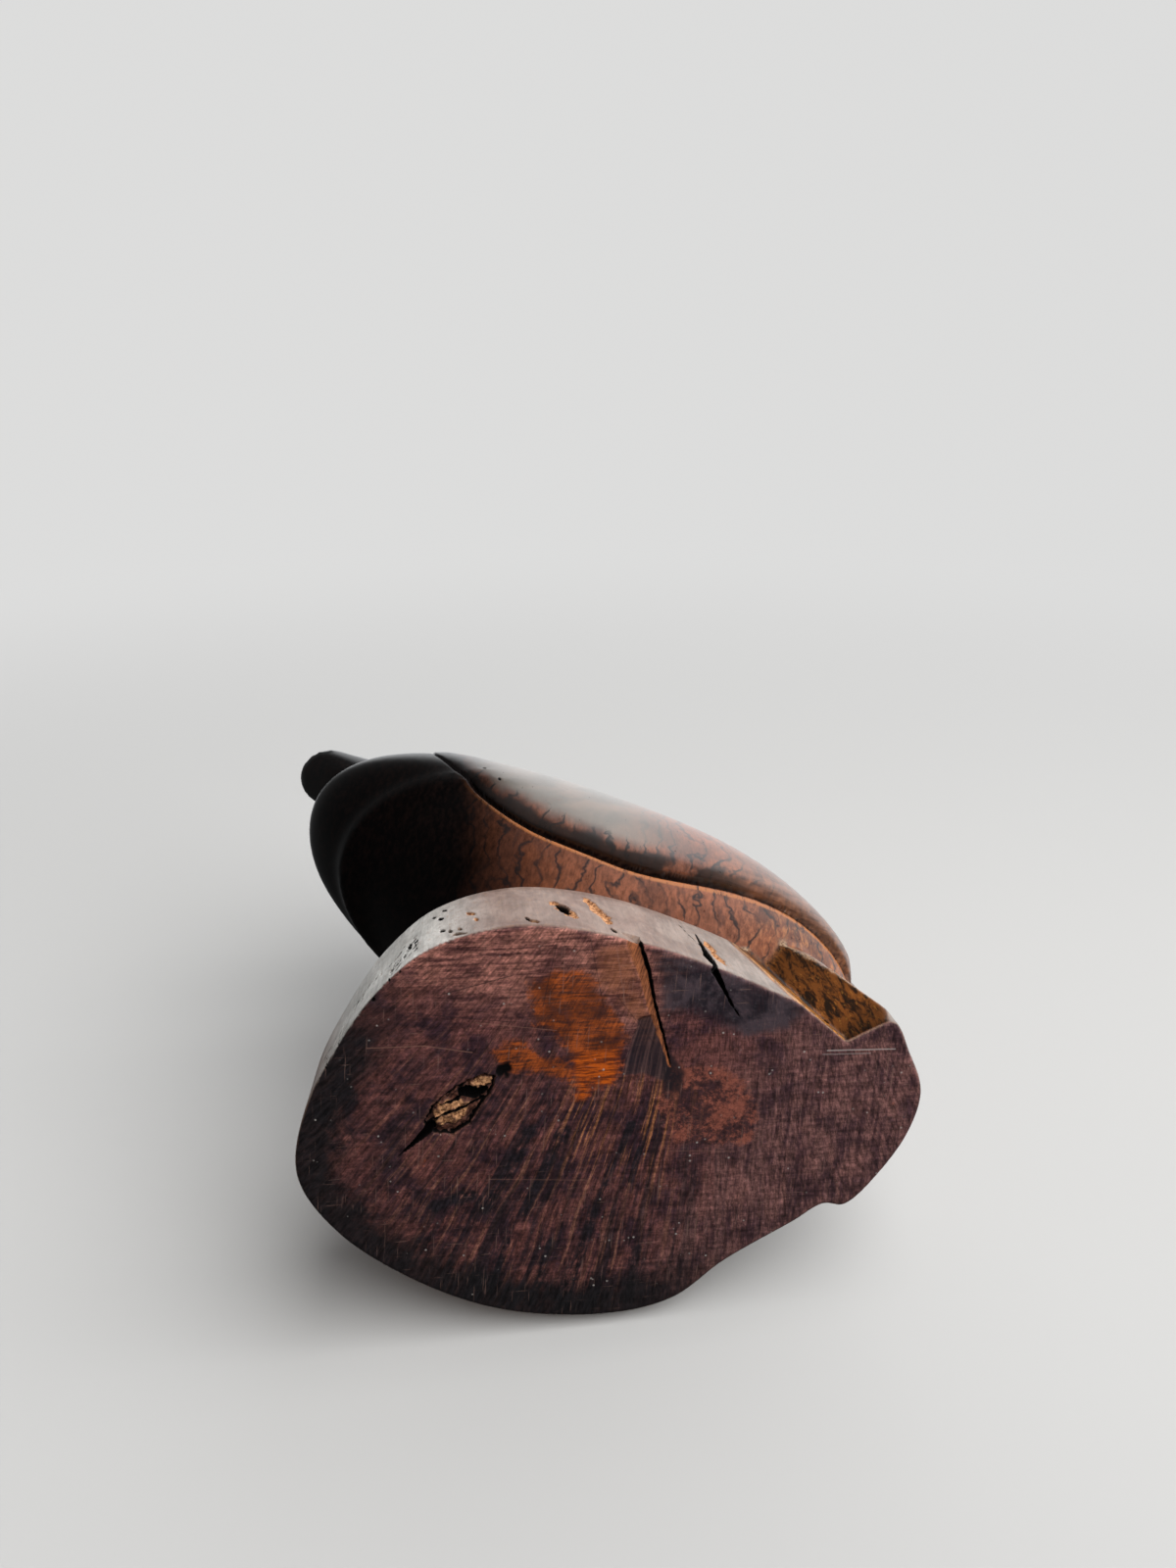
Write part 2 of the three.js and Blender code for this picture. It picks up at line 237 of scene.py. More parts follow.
def body(p):
    x = p[:, 0]
    across, above = about_axis(p)
    roundness = lerp(BELLY_ROUNDNESS, BACK_ROUNDNESS, ease(above, -0.3, 0.3))
    flat = SECTION_SOFTNESS**roundness
    full = (1 + SECTION_SOFTNESS**2) ** (roundness / 2) - flat
    size = sum((v**2 + SECTION_SOFTNESS**2) ** (roundness / 2) - flat for v in (across, above))
    size = (size / full + SMALL) ** (1 / roundness)
    _, _, along = section_shares(x)
    in_front = x > WIDEST_X
    power = np.where(in_front, 2.25, 3.2)
    reach = np.where(in_front, FRONT_LENGTH, REAR_LENGTH)
    steepness = np.hypot(2 * size / HALF_WIDTH, power * along ** (power - 1) / reach)
    return (size**2 + along**power - 1) / np.maximum(steepness, 0.01)


def tail(p):
    x, y, z = p.T
    along = (TAIL_ROOT_X - x) / (TAIL_ROOT_X - TAIL_TIP_X)
    share = np.clip(along, 0, 1)
    half_width, half_height = lerp(*TAIL_HALF_WIDTH, share), lerp(*TAIL_HALF_HEIGHT, share)
    size = (y / half_width) ** 2 + ((z - lerp(*TAIL_Z, share**2)) / half_height) ** 2
    steepness = 2 * np.sqrt(size + SMALL) / (0.5 * (half_width + half_height))
    end = np.maximum(along, 0) ** 8
    root = (0.02 + along) * -20
    return np.maximum((size + end - 1) / np.maximum(steepness, 0.1), root)


def neck(p):
    x, y, z = p.T
    swell = np.clip((NECK_Z - z) / NECK_SWELL_REACH, 0, 1.4) ** 1.7
    half_length, half_width = (h + s * swell for h, s in zip(NECK_HALF, NECK_SWELL))
    centre = NECK_X + NECK_SLOPE * (z - NECK_Z)
    size = np.hypot((x - centre) / half_length, (y - HEAD_LEAN) / half_width)
    side = (size - 1) * np.sqrt(half_length * half_width)
    return np.maximum(side, np.maximum(NECK_ENDS[0] - z, z - NECK_ENDS[1]))


def head(p):
    q = (p - HEAD_CENTRE) / HEAD_HALF
    size = np.linalg.norm(q, axis=1)
    steepness = np.linalg.norm(q / HEAD_HALF, axis=1) / np.maximum(size, SMALL)
    return (size - 1) / np.maximum(steepness, 0.05)


def bill(p):
    x, y, z = p.T
    along = np.clip((x - BILL_X[0]) / (BILL_X[1] - BILL_X[0]), 0, 1)
    round_end = np.maximum(0, (x - (BILL_X[1] - BILL_HALF_WIDTH)) / BILL_HALF_WIDTH)
    ring = np.sqrt(np.maximum(1 - round_end**2, 0.0025))
    half_height = lerp(*BILL_HALF_HEIGHT, 1 - (1 - along) ** 1.5)
    up = (z - lerp(*BILL_Z, along)) / half_height * np.sqrt(ring)
    across = (y - HEAD_LEAN) / BILL_HALF_WIDTH
    size = across**2 + up**2
    steepness = 2 * np.sqrt((across / BILL_HALF_WIDTH) ** 2 + (up / half_height) ** 2
                            + (round_end / BILL_HALF_WIDTH) ** 2 + SMALL)
    return np.maximum((size + round_end**2 - 1) / np.maximum(steepness, 0.03), BILL_X[0] - x)


SLAB_CURVE = closed_curve(SLAB_EDGE)
slab_edge_distance = Table((-80, -80), (80, 50), (0.5, 0.5), lambda q: outline_distance(q, SLAB_CURVE))


def notch_walls(p):
    """Distances from the back and the front wall of the wedge cut out of the slab, positive inside it."""
    x, y, z = p.T
    left = y - NOTCH_CORNER[1] - NOTCH_LEAN * z
    walls = (NOTCH_BACK_NORMAL, NOTCH_BACK_LEAN), (NOTCH_FRONT_NORMAL, NOTCH_FRONT_LEAN)
    return [(x - NOTCH_CORNER[0] - lean * z) * normal[0] + left * normal[1] for normal, lean in walls]


def notch(p):
    return smooth_min(*notch_walls(p), 0.6)


def notch_edge(p):
    """Near 0 on the notch's edges, lower away from them."""
    return np.minimum(notch(p), np.maximum(slab_side(p), -p[:, 2]))


def foot_swell(p):
    """How far the foot's left side stands out of the underside's outline."""
    x, y, z = p.T
    _, from_front = notch_walls(p)
    beside = ease(-x, 26, 32) * (1 - ease(-x, 44.5, 48.5)) * ease(y, 8, 18) * ease(from_front, 0, 1.5)
    return FOOT_SWELL * beside * ease(z, 0, FOOT_SWELL_FULL_Z)


def slab_side(p):
    """Distance to the slab's edge and its rounded top, without the notch."""
    x, y, z = p.T
    edge = slab_edge_distance(x, y) + FRONT_LEAN[2] * ease(x, *FRONT_LEAN[:2]) * z / SLAB_HEIGHT
    edge = edge - foot_swell(p)
    inset = SHOULDER_INSET * lerp(1, FOOT_SHARE, ease(-x, -FOOT[0], -FOOT[1]))
    out = np.maximum(1 + edge / inset, 0)
    up = np.maximum((z - SHOULDER_START) / (SLAB_HEIGHT - SHOULDER_START), 0)
    size = (out**SHOULDER_ROUNDNESS + up**SHOULDER_ROUNDNESS + SMALL) ** (1 / SHOULDER_ROUNDNESS)
    bend = SHOULDER_ROUNDNESS - 1
    steepness = np.hypot((out / size) ** bend / inset, (up / size) ** bend / (SLAB_HEIGHT - SHOULDER_START))
    side = (size - 1) / np.maximum(steepness, 0.03)
    return smooth_max(side, p @ FOOT_SIDE_NORMAL - FOOT_SIDE_REACH, 0.5)


def slab(p):
    x, _, z = p.T
    rounding = lerp(NOTCH_ROUNDING, FOOT_CORNER_ROUNDING, ease(-x, 41, 45) * (1 - ease(z, 1, 6)))
    cut = smooth_max(slab_side(p), notch(p), rounding)
    return smooth_max(cut, -z, UNDERSIDE_EDGE_ROUNDING)


def unevenness(p):
    """The slight swells that a carver's rasp leaves, none on the sawn underside."""
    x, y, z = p.T
    waves = (np.sin(x / 6.1 + 1.1 * np.sin(y / 9.7)) * np.sin(z / 5.3 + 0.8)
             + np.sin(y / 4.7 + 0.6 * np.sin(x / 11.3) + 2.0) * np.sin((x + z) / 7.9))
    return 0.07 * waves * ease(z, 0, 5)


def carving(p):
    """Distance to the skin of the whole carving, before wings, cracks and wear; negative inside."""
    bird = smooth_min(body(p), tail(p), 4)
    bird = smooth_min(bird, smooth_min(neck(p), head(p), 5), 6)
    bird = smooth_min(bird, bill(p), 2.5)
    return smooth_min(bird, slab(p), 1.5) + unevenness(p)


def outward(p, reach=0.05):
    """Slope of the carving's distance, which points out of it."""
    slope = np.empty_like(p)
    for axis in range(3):
        step = np.zeros(3)
        step[axis] = reach
        slope[:, axis] = (carving(p + step) - carving(p - step)) / (2 * reach)
    return slope


def onto_skin(p, rounds=1):
    """The points moved onto the skin, no more than a grid step each."""
    for _ in range(rounds):
        slope = outward(p)
        move = slope * (carving(p) / np.maximum((slope**2).sum(1), 0.05))[:, None]
        length = np.linalg.norm(move, axis=1)
        p = p - move * np.minimum(1, GRID_STEP / np.maximum(length, SMALL))[:, None]
    return p


def unit(v):
    return v / np.maximum(np.linalg.norm(v, axis=1), SMALL)[:, None]


def surface_net(values):
    """Points and triangles of the skin between negative and positive values of a grid, in its steps."""
    inside = values < 0
    count = sum(inside[i:values.shape[0] - 1 + i, j:values.shape[1] - 1 + j, k:values.shape[2] - 1 + k]
                .astype(np.int8) for i in (0, 1) for j in (0, 1) for k in (0, 1))
    cells = np.argwhere((count > 0) & (count < 8))
    number = np.full(count.shape, -1)
    number[tuple(cells.T)] = np.arange(len(cells))
    total, hits = np.zeros((len(cells), 3)), np.zeros(len(cells))
    quads = []
    units = np.eye(3, dtype=int)
    for axis in range(3):
        along, second, third = units[axis], units[(axis + 1) % 3], units[(axis + 2) % 3]
        for offset in (0 * along, second, third, second + third):
            start = cells + offset
            a, b = values[tuple(start.T)], values[tuple((start + along).T)]
            crossed = (a < 0) != (b < 0)
            share = np.where(crossed, a / np.where(crossed, a - b, 1), 0)
            total += crossed[:, None] * (start + share[:, None] * along)
            hits += crossed
        near = inside[tuple(slice(0, n - d) for n, d in zip(values.shape, along))]
        far = inside[tuple(slice(d, n) for n, d in zip(values.shape, along))]
        edges = np.argwhere(near != far)
        ring = np.stack([number[tuple((edges - step).T)]
                         for step in (0 * along, second, second + third, third)], 1)
        leaving = near[tuple(edges.T)]
        quads.append(np.where(leaving[:, None], ring, ring[:, ::-1]))
    return total / hits[:, None], np.vstack(quads)


def split_quads(points, quads):
    """Two triangles for each quad, parted along its shorter diagonal."""
    a, b, c, d = quads.T
    first = np.linalg.norm(points[a] - points[c], axis=1) <= np.linalg.norm(points[b] - points[d], axis=1)
    one = np.where(first[:, None], np.stack([a, b, c], 1), np.stack([a, b, d], 1))
    two = np.where(first[:, None], np.stack([a, c, d], 1), np.stack([b, c, d], 1))
    return np.vstack([one, two])


def refine(points, triangles, longest_edge):
    """Splits every edge that is longer than wanted where it is, once."""
    ends = np.stack([triangles, np.roll(triangles, -1, 1)], 2)
    ends.sort(axis=2)
    keys = ends[..., 0] * len(points) + ends[..., 1]
    unique, edge_of = np.unique(keys.ravel(), return_inverse=True)
    edge_of = edge_of.reshape(-1, 3)
    a, b = unique // len(points), unique % len(points)
    length = np.linalg.norm(points[a] - points[b], axis=1)
    wanted = longest_edge(points)
    split = length > np.minimum(wanted[a], wanted[b])
    longest = edge_of[np.arange(len(triangles)), length[edge_of].argmax(1)]
    for _ in range(2):
        split[longest[split[edge_of].any(1)]] = True
    middle = onto_skin((points[a[split]] + points[b[split]]) / 2)
    new = np.full(len(unique), -1)
    new[split] = len(points) + np.arange(split.sum())
    made = []
    marked = split[edge_of]
    count = marked.sum(1)
    made.append(triangles[count == 0])
    for turn in range(3):
        corners = np.roll(triangles, -turn, 1)
        halves = np.roll(new[edge_of], -turn, 1)
        on = np.roll(marked, -turn, 1)
        pick = (count == 1) & on[:, 0]
        (p, q, r), (m, _, _) = corners[pick].T, halves[pick].T
        made += [np.stack([p, m, r], 1), np.stack([m, q, r], 1)]
        pick = (count == 2) & on[:, 0] & on[:, 1]
        (p, q, r), (m, n, _) = corners[pick].T, halves[pick].T
        made += [np.stack([m, q, n], 1), np.stack([p, m, n], 1), np.stack([p, n, r], 1)]
    pick = count == 3
    (p, q, r), (m, n, o) = triangles[pick].T, new[edge_of][pick].T
    made += [np.stack(t, 1) for t in ((p, m, o), (m, q, n), (o, n, r), (m, n, o))]
    return np.vstack([points, middle]), np.vstack(made)


def lattice_noise(p, size, seed=0.0):
    """Smooth noise from -1 to 1 with lumps of that size, the same on every run."""
    cell = np.floor(p / size)
    share = p / size - cell
    share = share * share * (3 - 2 * share)
    total = np.zeros(len(p))
    for corner in np.ndindex(2, 2, 2):
        hashed = np.sin((cell + corner) @ (12.9898, 78.233, 37.719) + seed) * 43758.5453
        weight = np.where(corner, share, 1 - share).prod(1)
        total += weight * (hashed - np.floor(hashed))
    return 2 * total - 1


# Wings and the groove round them

def wing_angles(x):
    """The wing's lower and upper edges at x, as degrees round the body's section."""
    to_front = np.clip((x - WING_BROADEST_X) / (WING_FRONT_X - WING_BROADEST_X), 0, 1)
    spread = np.sqrt(1 - to_front**2)
    to_tail = ease(-x, -WING_NARROWS[0], -WING_NARROWS[1])
    low = lerp(WING_FRONT_ANGLE, lerp(*WING_LOW, to_tail), spread)
    high = lerp(WING_FRONT_ANGLE, lerp(*WING_HIGH, to_tail), spread)
    return low, high


def wing_outline_distance(q):
    """Millimetres over the skin to the wing's outline, positive inside, for x and degrees."""
    x, degrees = q.T
    width, _, _ = section_shares(x)
    per_degree = math.radians(1) * HALF_WIDTH * np.maximum(width, 0.15)
    stations = lerp(WING_REAR_X, WING_FRONT_X, np.sin(np.pi / 2 * np.linspace(0, 1, 300)))
    away = np.full(len(q), np.inf)
    for edge in wing_angles(stations):
        for station, angle in zip(stations, edge):
            away = np.minimum(away, np.hypot(x - station, (degrees - angle) * per_degree))
    low, high = wing_angles(x)
    inside = (x < WING_FRONT_X) & (degrees > low) & (degrees < high)
    return np.where(inside, away, -away)


wing_table = Table((-75, -92), (90, 92), (1, 1), wing_outline_distance)


def on_body(p):
    """1 where the skin is the bird's body, falling to 0 on the slab, the neck and the tail."""
    return 1 - ease(body(p), 0.4, 1.8)


def wing_edge(p):
    across, above = about_axis(p)
    degrees = np.degrees(np.arctan2(above, np.abs(across)))
    return wing_table(p[:, 0], degrees), degrees


def wing_relief(p):
    """How far the wing stands out of the body, less the groove under its edge."""
    x = p[:, 0]
    edge, degrees = wing_edge(p)
    lift = WING_LIFT * lerp(1, WING_FRONT_FADE[2], ease(x, *WING_FRONT_FADE[:2]))
    inside = np.clip(edge / WING_ROUNDING, 0, 1)
    height = lift * np.sqrt(1 - (1 - inside) ** 2) * ease(x, *WING_TAIL_FADE)
    size = lerp(1, GROOVE_REAR_SHARE, ease(-x, -12, 30)) * lerp(1, GROOVE_TOP_SHARE, ease(degrees, 20, 50))
    size = size * lerp(1, GROOVE_FRONT_SHARE, ease(x, 38, 50))
    width = GROOVE_WIDTH * size
    groove = GROOVE_DEPTH * size * ease(edge, -width, -0.2 * width) * (1 - ease(edge, -0.15 * width, 0.3))
    return (height - groove) * on_body(p)


# Wear on the underside and the rim: cracks, knot, pits and chips

# The long crack, with a bevel broken off along its side nearer the front
LONG_CRACK = [(10.9, 25.2, 2.4), (10.5, 24.6, 0.4), (6.3, 18.9, 0), (2.4, 12.2, 0), (-1.7, 6.3, 0), (-5.2, 0.8, 0)]
LONG_CRACK_HALF = [0.5, 0.42, 0.3, 0.26, 0.22, 0.08]
BEVEL_WIDTH = [3.2, 2.9, 2.3, 1.7, 1.2, 0.5]
BEVEL_NORMAL = (0.838, -0.547)
BEVEL_DEPTH = 1.1
# The short crack, from the rim on to the underside
SHORT_CRACK = [(-6.2, 22.4, 25), (-5.6, 23.8, 15.5), (-5.6, 24, 11), (-5.6, 24, 4), (-6.2, 23.2, 0.3),
               (-9.6, 19.9, 0), (-12.6, 17, 0), (-15.4, 14.8, 0)]
SHORT_CRACK_HALF = [0.05, 0.14, 0.26, 0.55, 1.1, 0.62, 0.3, 0.06]
FINE_CRACK = [(-1.2, 24.3, 21), (-3.4, 24.2, 14), (-5.4, 24, 9)]
FINE_CRACK_HALF = [0.04, 0.1, 0.06]
CRACK_DEPTH = 2.6

KNOT_OUTLINE = [(39.2, -25.2), (39, -21), (36.2, -16.4), (33.3, -12.9), (30.9, -10.9), (28.6, -11), (27.9, -13.8),
                (28.9, -18.4), (29.8, -22.8), (32.3, -26.2), (36.4, -27)]
KNOT_ISLANDS = [
    [(38.4, -22.6), (37.5, -19.7), (33.7, -18.2), (31.4, -18.1), (31.2, -21.2), (33, -24), (35.9, -25.2)],
    [(32.9, -14.6), (32, -12.4), (29, -11.4), (28.8, -13), (30.9, -15.2)],
]
# Black lines and the dark core between the islands: path and half widths
KNOT_LINES = [
    ([(38.2, -24.8, 0), (35, -21.7, 0), (31.4, -18.9, 0), (29.2, -16.6, 0)], [0.15, 0.3, 0.28, 0.3]),
    ([(36.9, -20.4, 0), (34.6, -18.8, 0), (32.6, -16.6, 0)], [0.1, 0.25, 0.5]),
    ([(33.2, -16.4, 0), (31.2, -16.4, 0), (29.6, -14.8, 0)], [1.3, 1.15, 0.7]),
]
KNOT_TAIL = [(37.4, -25.6, 0), (39.8, -30.5, 0), (41.6, -33.6, 0)]
KNOT_TAIL_HALF = [1.1, 0.55, 0.1]
KNOT_DEPTH = 0.9
KNOT_ISLAND_DEPTH = 0.35
KNOT_RING_DEPTH = 1.5
SMALL_KNOT = (27.2, -9.4, 0)
SMALL_KNOT_RADIUS = 1.9

# A flake is missing between the long crack and the bright patch
FLAKE_OUTLINE = [(5.2, 8.6), (4.8, 6), (4.1, -4.6), (0, -3), (-5.8, -3.2), (-6, 0), (-2, 6), (1.6, 11.4)]
FLAKE_DEPTH = 0.45

# Hollows in the rim: where each starts and ends, half its width, its depth, and how pale its floor is
RIM_HOLLOWS = [
    ((25.8, 23.1, 12.6), (24.1, 23.4, 9.4), 1.15, 2.6, 0.0),
    ((26.8, 22.9, 13.4), (23, 23.5, 6.2), 1.5, 0.7, 1.0),
    ((19.2, 23.8, 17.8), (15.8, 24.2, 7), 1.5, 0.8, 1.0),
    ((15.8, 24.3, 4.2), (15.3, 24.3, 2.4), 0.5, 0.8, 0.2),
    ((32.4, 21.5, 3.2), (31, 22, 2), 0.7, 0.8, 0.6),
    ((33, 21.3, 4.6), (32.4, 21.6, 3), 0.35, 0.6, 0.3),
    ((43, 16, 12.4), (42, 16.8, 10.4), 0.7, 0.5, 0.8),
    ((41.8, 17, 8.4), (41.6, 17.2, 6.6), 0.6, 0.5, 0.8),
    ((46.4, 14, 5.8), (46, 14.3, 4), 0.6, 0.7, 0.4),
    ((47.7, 12.9, 7.6), (47.2, 13.4, 5.8), 0.55, 0.7, 0.3),
    ((44.9, 15.1, 5), (44.4, 15.5, 3.9), 0.5, 0.6, 0.5),
    ((47.6, 12.2, 14.6), (47.2, 12.7, 13.2), 0.5, 0.9, 0.0),
    ((46.9, 12.7, 18.4), (46.4, 13.2, 17.4), 0.45, 0.8, 0.0),
    ((48.6, 11, 17.2), (48.2, 11.6, 15.8), 0.35, 0.8, 0.0),
    ((45.8, 14.2, 3), (43.6, 15.9, 1.2), 0.8, 0.7, 0.5),
    ((-7.3, 23.8, 13.6), (-8, 23.9, 8.3), 1.1, 0.7, 1.0),
    ((-7.7, 23.9, 8.3), (-9.2, 23.8, 3.6), 1.2, 0.7, 0.9),
    ((41.4, 30.9, 72.3), (41, 30.9, 71.4), 0.45, 0.5, 0.0),
    ((37.7, 30.4, 67.3), (37.2, 30.4, 66.6), 0.4, 0.5, 0.0),
    ((33.4, 31.6, 68.6), (32.8, 31.6, 68), 0.3, 0.5, 0.0),
]
# Beetle marks at the front left: this many, along the edge between two of its corners
BEETLE_MARKS = 120
BEETLE_EDGE = [(51.2, 9), (54.6, 3.6), (57.6, -4.4), (60.2, -13), (61.7, -22)]
BEETLE_SEED = 7


def beetle_marks():
    """Short dark hollows that follow the rim, thickest by the first corner."""
    draw = np.random.RandomState(BEETLE_SEED)
    corners = np.array(BEETLE_EDGE, float)
    marks = []
    for _ in range(BEETLE_MARKS):
        along = draw.uniform(0, 1) ** 1.5 * (len(corners) - 1.001)
        start, share = int(along), along % 1
        x, y = lerp(corners[start], corners[start + 1], share)
        height = draw.uniform(0.8, 13.5) * lerp(1, 0.6, along / (len(corners) - 1))
        length, turn = draw.uniform(0.5, 2.2), draw.uniform(0.5, 1.3)
        run = corners[start + 1] - corners[start]
        run = run / np.linalg.norm(run) * length * math.cos(turn)
        end = (x + run[0], y + run[1], height - length * math.sin(turn))
        marks.append(((x, y, height), end, draw.uniform(0.2, 0.44), 0.6, draw.uniform(0, 0.3)))
    return marks


HOLLOWS = RIM_HOLLOWS + beetle_marks()


def nearest_edge(p, path, halves):
    """Distance to the edge of a crack of changing width, negative inside, and the place along it."""
    away, along = path_distance(p, path)
    stops = np.linspace(0, 1, len(halves))
    return away - np.interp(along, stops, halves), along


class Wear:
    """Depth of the wear at points of the skin, its colours as shares, and how fine the mesh has to be."""

    def __init__(self, p):
        self.p = p
        self.depth = np.zeros(len(p))
        self.black = np.zeros(len(p))
        self.pale = np.zeros(len(p))
        self.finest = np.full(len(p), 9.0)
        self.ragged = lattice_noise(p, 1.1) + 0.6 * lattice_noise(p, 0.5, 4.0)
        self.under = 1 - ease(p[:, 2], 0.35, 0.9)
        self.flat = p[:, :2]
        self.cracks()
        self.bevel()
        self.flake()
        self.knot()
        self.hollows()

    def near(self, distance, fineness, reach=0.7):
        close = np.clip((distance - reach) / 3, 0, 1)
        self.finest = np.minimum(self.finest, lerp(fineness, 9.0, close))

    def cut(self, distance, depth, slope):
        """Lowers the skin inside the distance's zero line, down a wall that wide."""
        self.depth = np.maximum(self.depth, depth * ease(-distance, 0, slope))

    def black_line(self, edge, depth):
        self.cut(edge, depth, 0.28)
        self.black = np.maximum(self.black, 1 - ease(edge, -0.12, 0.14))

    def cracks(self):
        for path, halves in ((LONG_CRACK, LONG_CRACK_HALF), (SHORT_CRACK, SHORT_CRACK_HALF),
                             (FINE_CRACK, FINE_CRACK_HALF), (KNOT_TAIL, KNOT_TAIL_HALF)):
            edge, _ = nearest_edge(self.p, path, halves)
            edge = edge + 0.1 * self.ragged
            self.black_line(edge, CRACK_DEPTH)
            self.near(edge, 0.26)

    def bevel(self):
        away, along = path_distance(self.p, LONG_CRACK)
        side = (self.flat - LONG_CRACK[1][:2]) @ BEVEL_NORMAL
        width = np.interp(along, np.linspace(0, 1, len(BEVEL_WIDTH)), BEVEL_WIDTH) + 0.15 * self.ragged
        low = self.p[:, 2] < 3
        share = np.clip(1 - away / width, 0, 1) * (side > -0.2) * low
        self.depth = np.maximum(self.depth, BEVEL_DEPTH * share * width / BEVEL_WIDTH[0])
        self.bevelled = ease(share, 0.02, 0.25)
        self.near(np.where((side > -1) & low, away - width, 9), 0.3)

    def flake(self):
        edge = outline_distance(self.flat, FLAKE_OUTLINE) + 0.2 * self.ragged
        steep = ease(self.flat[:, 0], -4, 5) * ease(self.flat[:, 1], -5, 2)
        self.depth = np.maximum(self.depth, FLAKE_DEPTH * ease(-edge, 0, 0.6) * steep * self.under)
        self.near(np.where(self.under > 0, np.abs(edge), 9), 0.4)
        self.flaked = self.under * (1 - ease(edge, -1, 1))

    def knot(self):
        low = self.under > 0
        edge = np.where(low, outline_distance(self.flat, KNOT_OUTLINE) + 0.3 * self.ragged, 9)
        rough = lattice_noise(self.p, 0.9, 2.0) + 0.5 * lattice_noise(self.p, 0.45, 3.0)
        island = np.full(len(self.p), 9.0)
        for outline in KNOT_ISLANDS:
            island = np.minimum(island, outline_distance(self.flat, outline) + 0.35 * self.ragged)
        floor = KNOT_DEPTH * (1 + 0.4 * rough)
        floor = lerp(floor, KNOT_ISLAND_DEPTH + 0.3 * rough, ease(-island, -0.1, 0.5))
        self.depth = np.maximum(self.depth, floor * ease(-edge, 0, 0.5))
        self.knot_wood = 1 - ease(edge, -0.3, 0.1)
        self.pale = np.maximum(self.pale, self.knot_wood * (1 - ease(island, -0.5, 0.1)) * (0.7 + 0.5 * rough))
        self.black_line(np.abs(edge + 0.45) - 0.2 - 0.1 * self.ragged, KNOT_RING_DEPTH)
        for path, halves in KNOT_LINES:
            line, _ = nearest_edge(self.p, path, halves)
            self.black_line(line + 0.2 * self.ragged, CRACK_DEPTH)
        small = np.linalg.norm(self.p - SMALL_KNOT, axis=1) - SMALL_KNOT_RADIUS + 0.25 * self.ragged
        self.cut(small, 0.5, 1.2)
        self.black = np.maximum(self.black, 0.8 * (1 - ease(small, -0.7, 0.2)))
        self.near(edge, 0.28, 0.6)

    def hollows(self):
        for start, end, half, depth, paleness in HOLLOWS:
            middle = (np.array(start) + end) / 2
            reach = np.linalg.norm(np.subtract(end, start)) / 2 + half
            close = np.linalg.norm(self.p - middle, axis=1) < reach + 4
            if not close.any():
                continue
            away, along = path_distance(self.p[close], [start, end])
            tapered = half * (1 - 0.45 * np.abs(2 * along - 1) ** 3)
            edge = away - tapered + 0.35 * half * self.ragged[close]
            cut = depth * ease(-edge, 0, 0.5 * half)
            dark = 1 - ease(edge, -0.35 * half, 0.1)
            self.depth[close] = np.maximum(self.depth[close], cut)
            self.black[close] = np.maximum(self.black[close], dark * (1 - paleness))
            self.pale[close] = np.maximum(self.pale[close], dark * paleness)
            self.finest[close] = np.minimum(self.finest[close], lerp(0.28, 9.0, np.clip((edge - 0.5) / 3, 0, 1)))


def longest_edge(p):
    """How long the mesh's edges may be at points of the skin."""
    x, y, z = p.T
    wanted = Wear(p).finest
    rim = np.abs(slab_edge_distance(x, y))
    wanted = np.minimum(wanted, np.where((z < 1.3) & (rim < 1.5), 0.7, 9))
    wanted = np.minimum(wanted, np.where(z < 0.5, 1.9, 9))
    corner = (np.abs(notch(p)) < 1) & (z < 34) & (slab_edge_distance(x, y) < 1.5)
    wanted = np.minimum(wanted, np.where(corner, 1.0, 9))
    wanted = np.minimum(wanted, np.where(corner & (notch_edge(p) > -0.6), 0.42, 9))
    edge, _ = wing_edge(p)
    wing = on_body(p) > 0.01
    return np.minimum(wanted, np.where(wing & (edge > -2.2) & (edge < 0.8), 0.6, 9))


def make_skin():
    """The points of the base skin, how far each moves in or out along its normal, and the triangles."""
    low, high = np.array(GRID_LOW), np.array(GRID_HIGH)
    counts = np.ceil((high - low) / GRID_STEP).astype(int) + 1
    grid = np.stack(np.meshgrid(*(np.arange(n) for n in counts), indexing="ij"), -1).reshape(-1, 3)
    values = carving(grid * GRID_STEP + low).reshape(counts)
    points, quads = surface_net(values)
    points = onto_skin(points * GRID_STEP + low, 3)
    triangles = split_quads(points, quads)
    for _ in range(4):
        points, triangles = refine(points, triangles, longest_edge)
    return onto_skin(points), triangles


# Coloured areas of the underside, as outlines
ORANGE_AREAS = [
    [(29.1, 10.1), (25.5, 14.6), (17.6, 15.4), (9.9, 9.7), (5.3, 5), (4.5, -1), (9, -4), (17.8, -1), (22.9, 1.2), (25.9, 2.1)],
    [(31.2, -6.4), (26.6, -2.6), (22.7, -4.6), (15, -2.5), (13.4, -8.1), (21.7, -8.6), (27.3, -9.3)],
]
BRIGHT_PATCH = [(15.2, -3.4), (10.5, 1.2), (5.2, 4.2), (3.9, -1.9), (4.8, -7.4), (7.6, -8.6), (8.6, -12.6), (11.2, -12.2),
                (13, -7.6)]
BLUE_AREA = [(9.5, 25), (-3.6, 25), (-16.4, 24), (-30, 22), (-27, 15), (-18, 10.5), (-5.2, 12.2), (1.3, 11)]
RED_AREA = [(-5.1, 0.7), (-16.1, 3.7), (-28.3, -2.4), (-28.6, -13.1), (-13.2, -16.1), (-4.8, -9.8)]
RUST_AREA = [(20.5, 21.5), (11.5, 24.8), (5.2, 16.1), (-3.1, 3.2), (1, 3.5), (5.3, 7.5), (11.6, 9.2), (16.5, 14)]
CRACK_SHADE = [(-1, 6), (-5.5, -5.5), (-10, -5), (-9, 0), (-5.6, 2.5)]

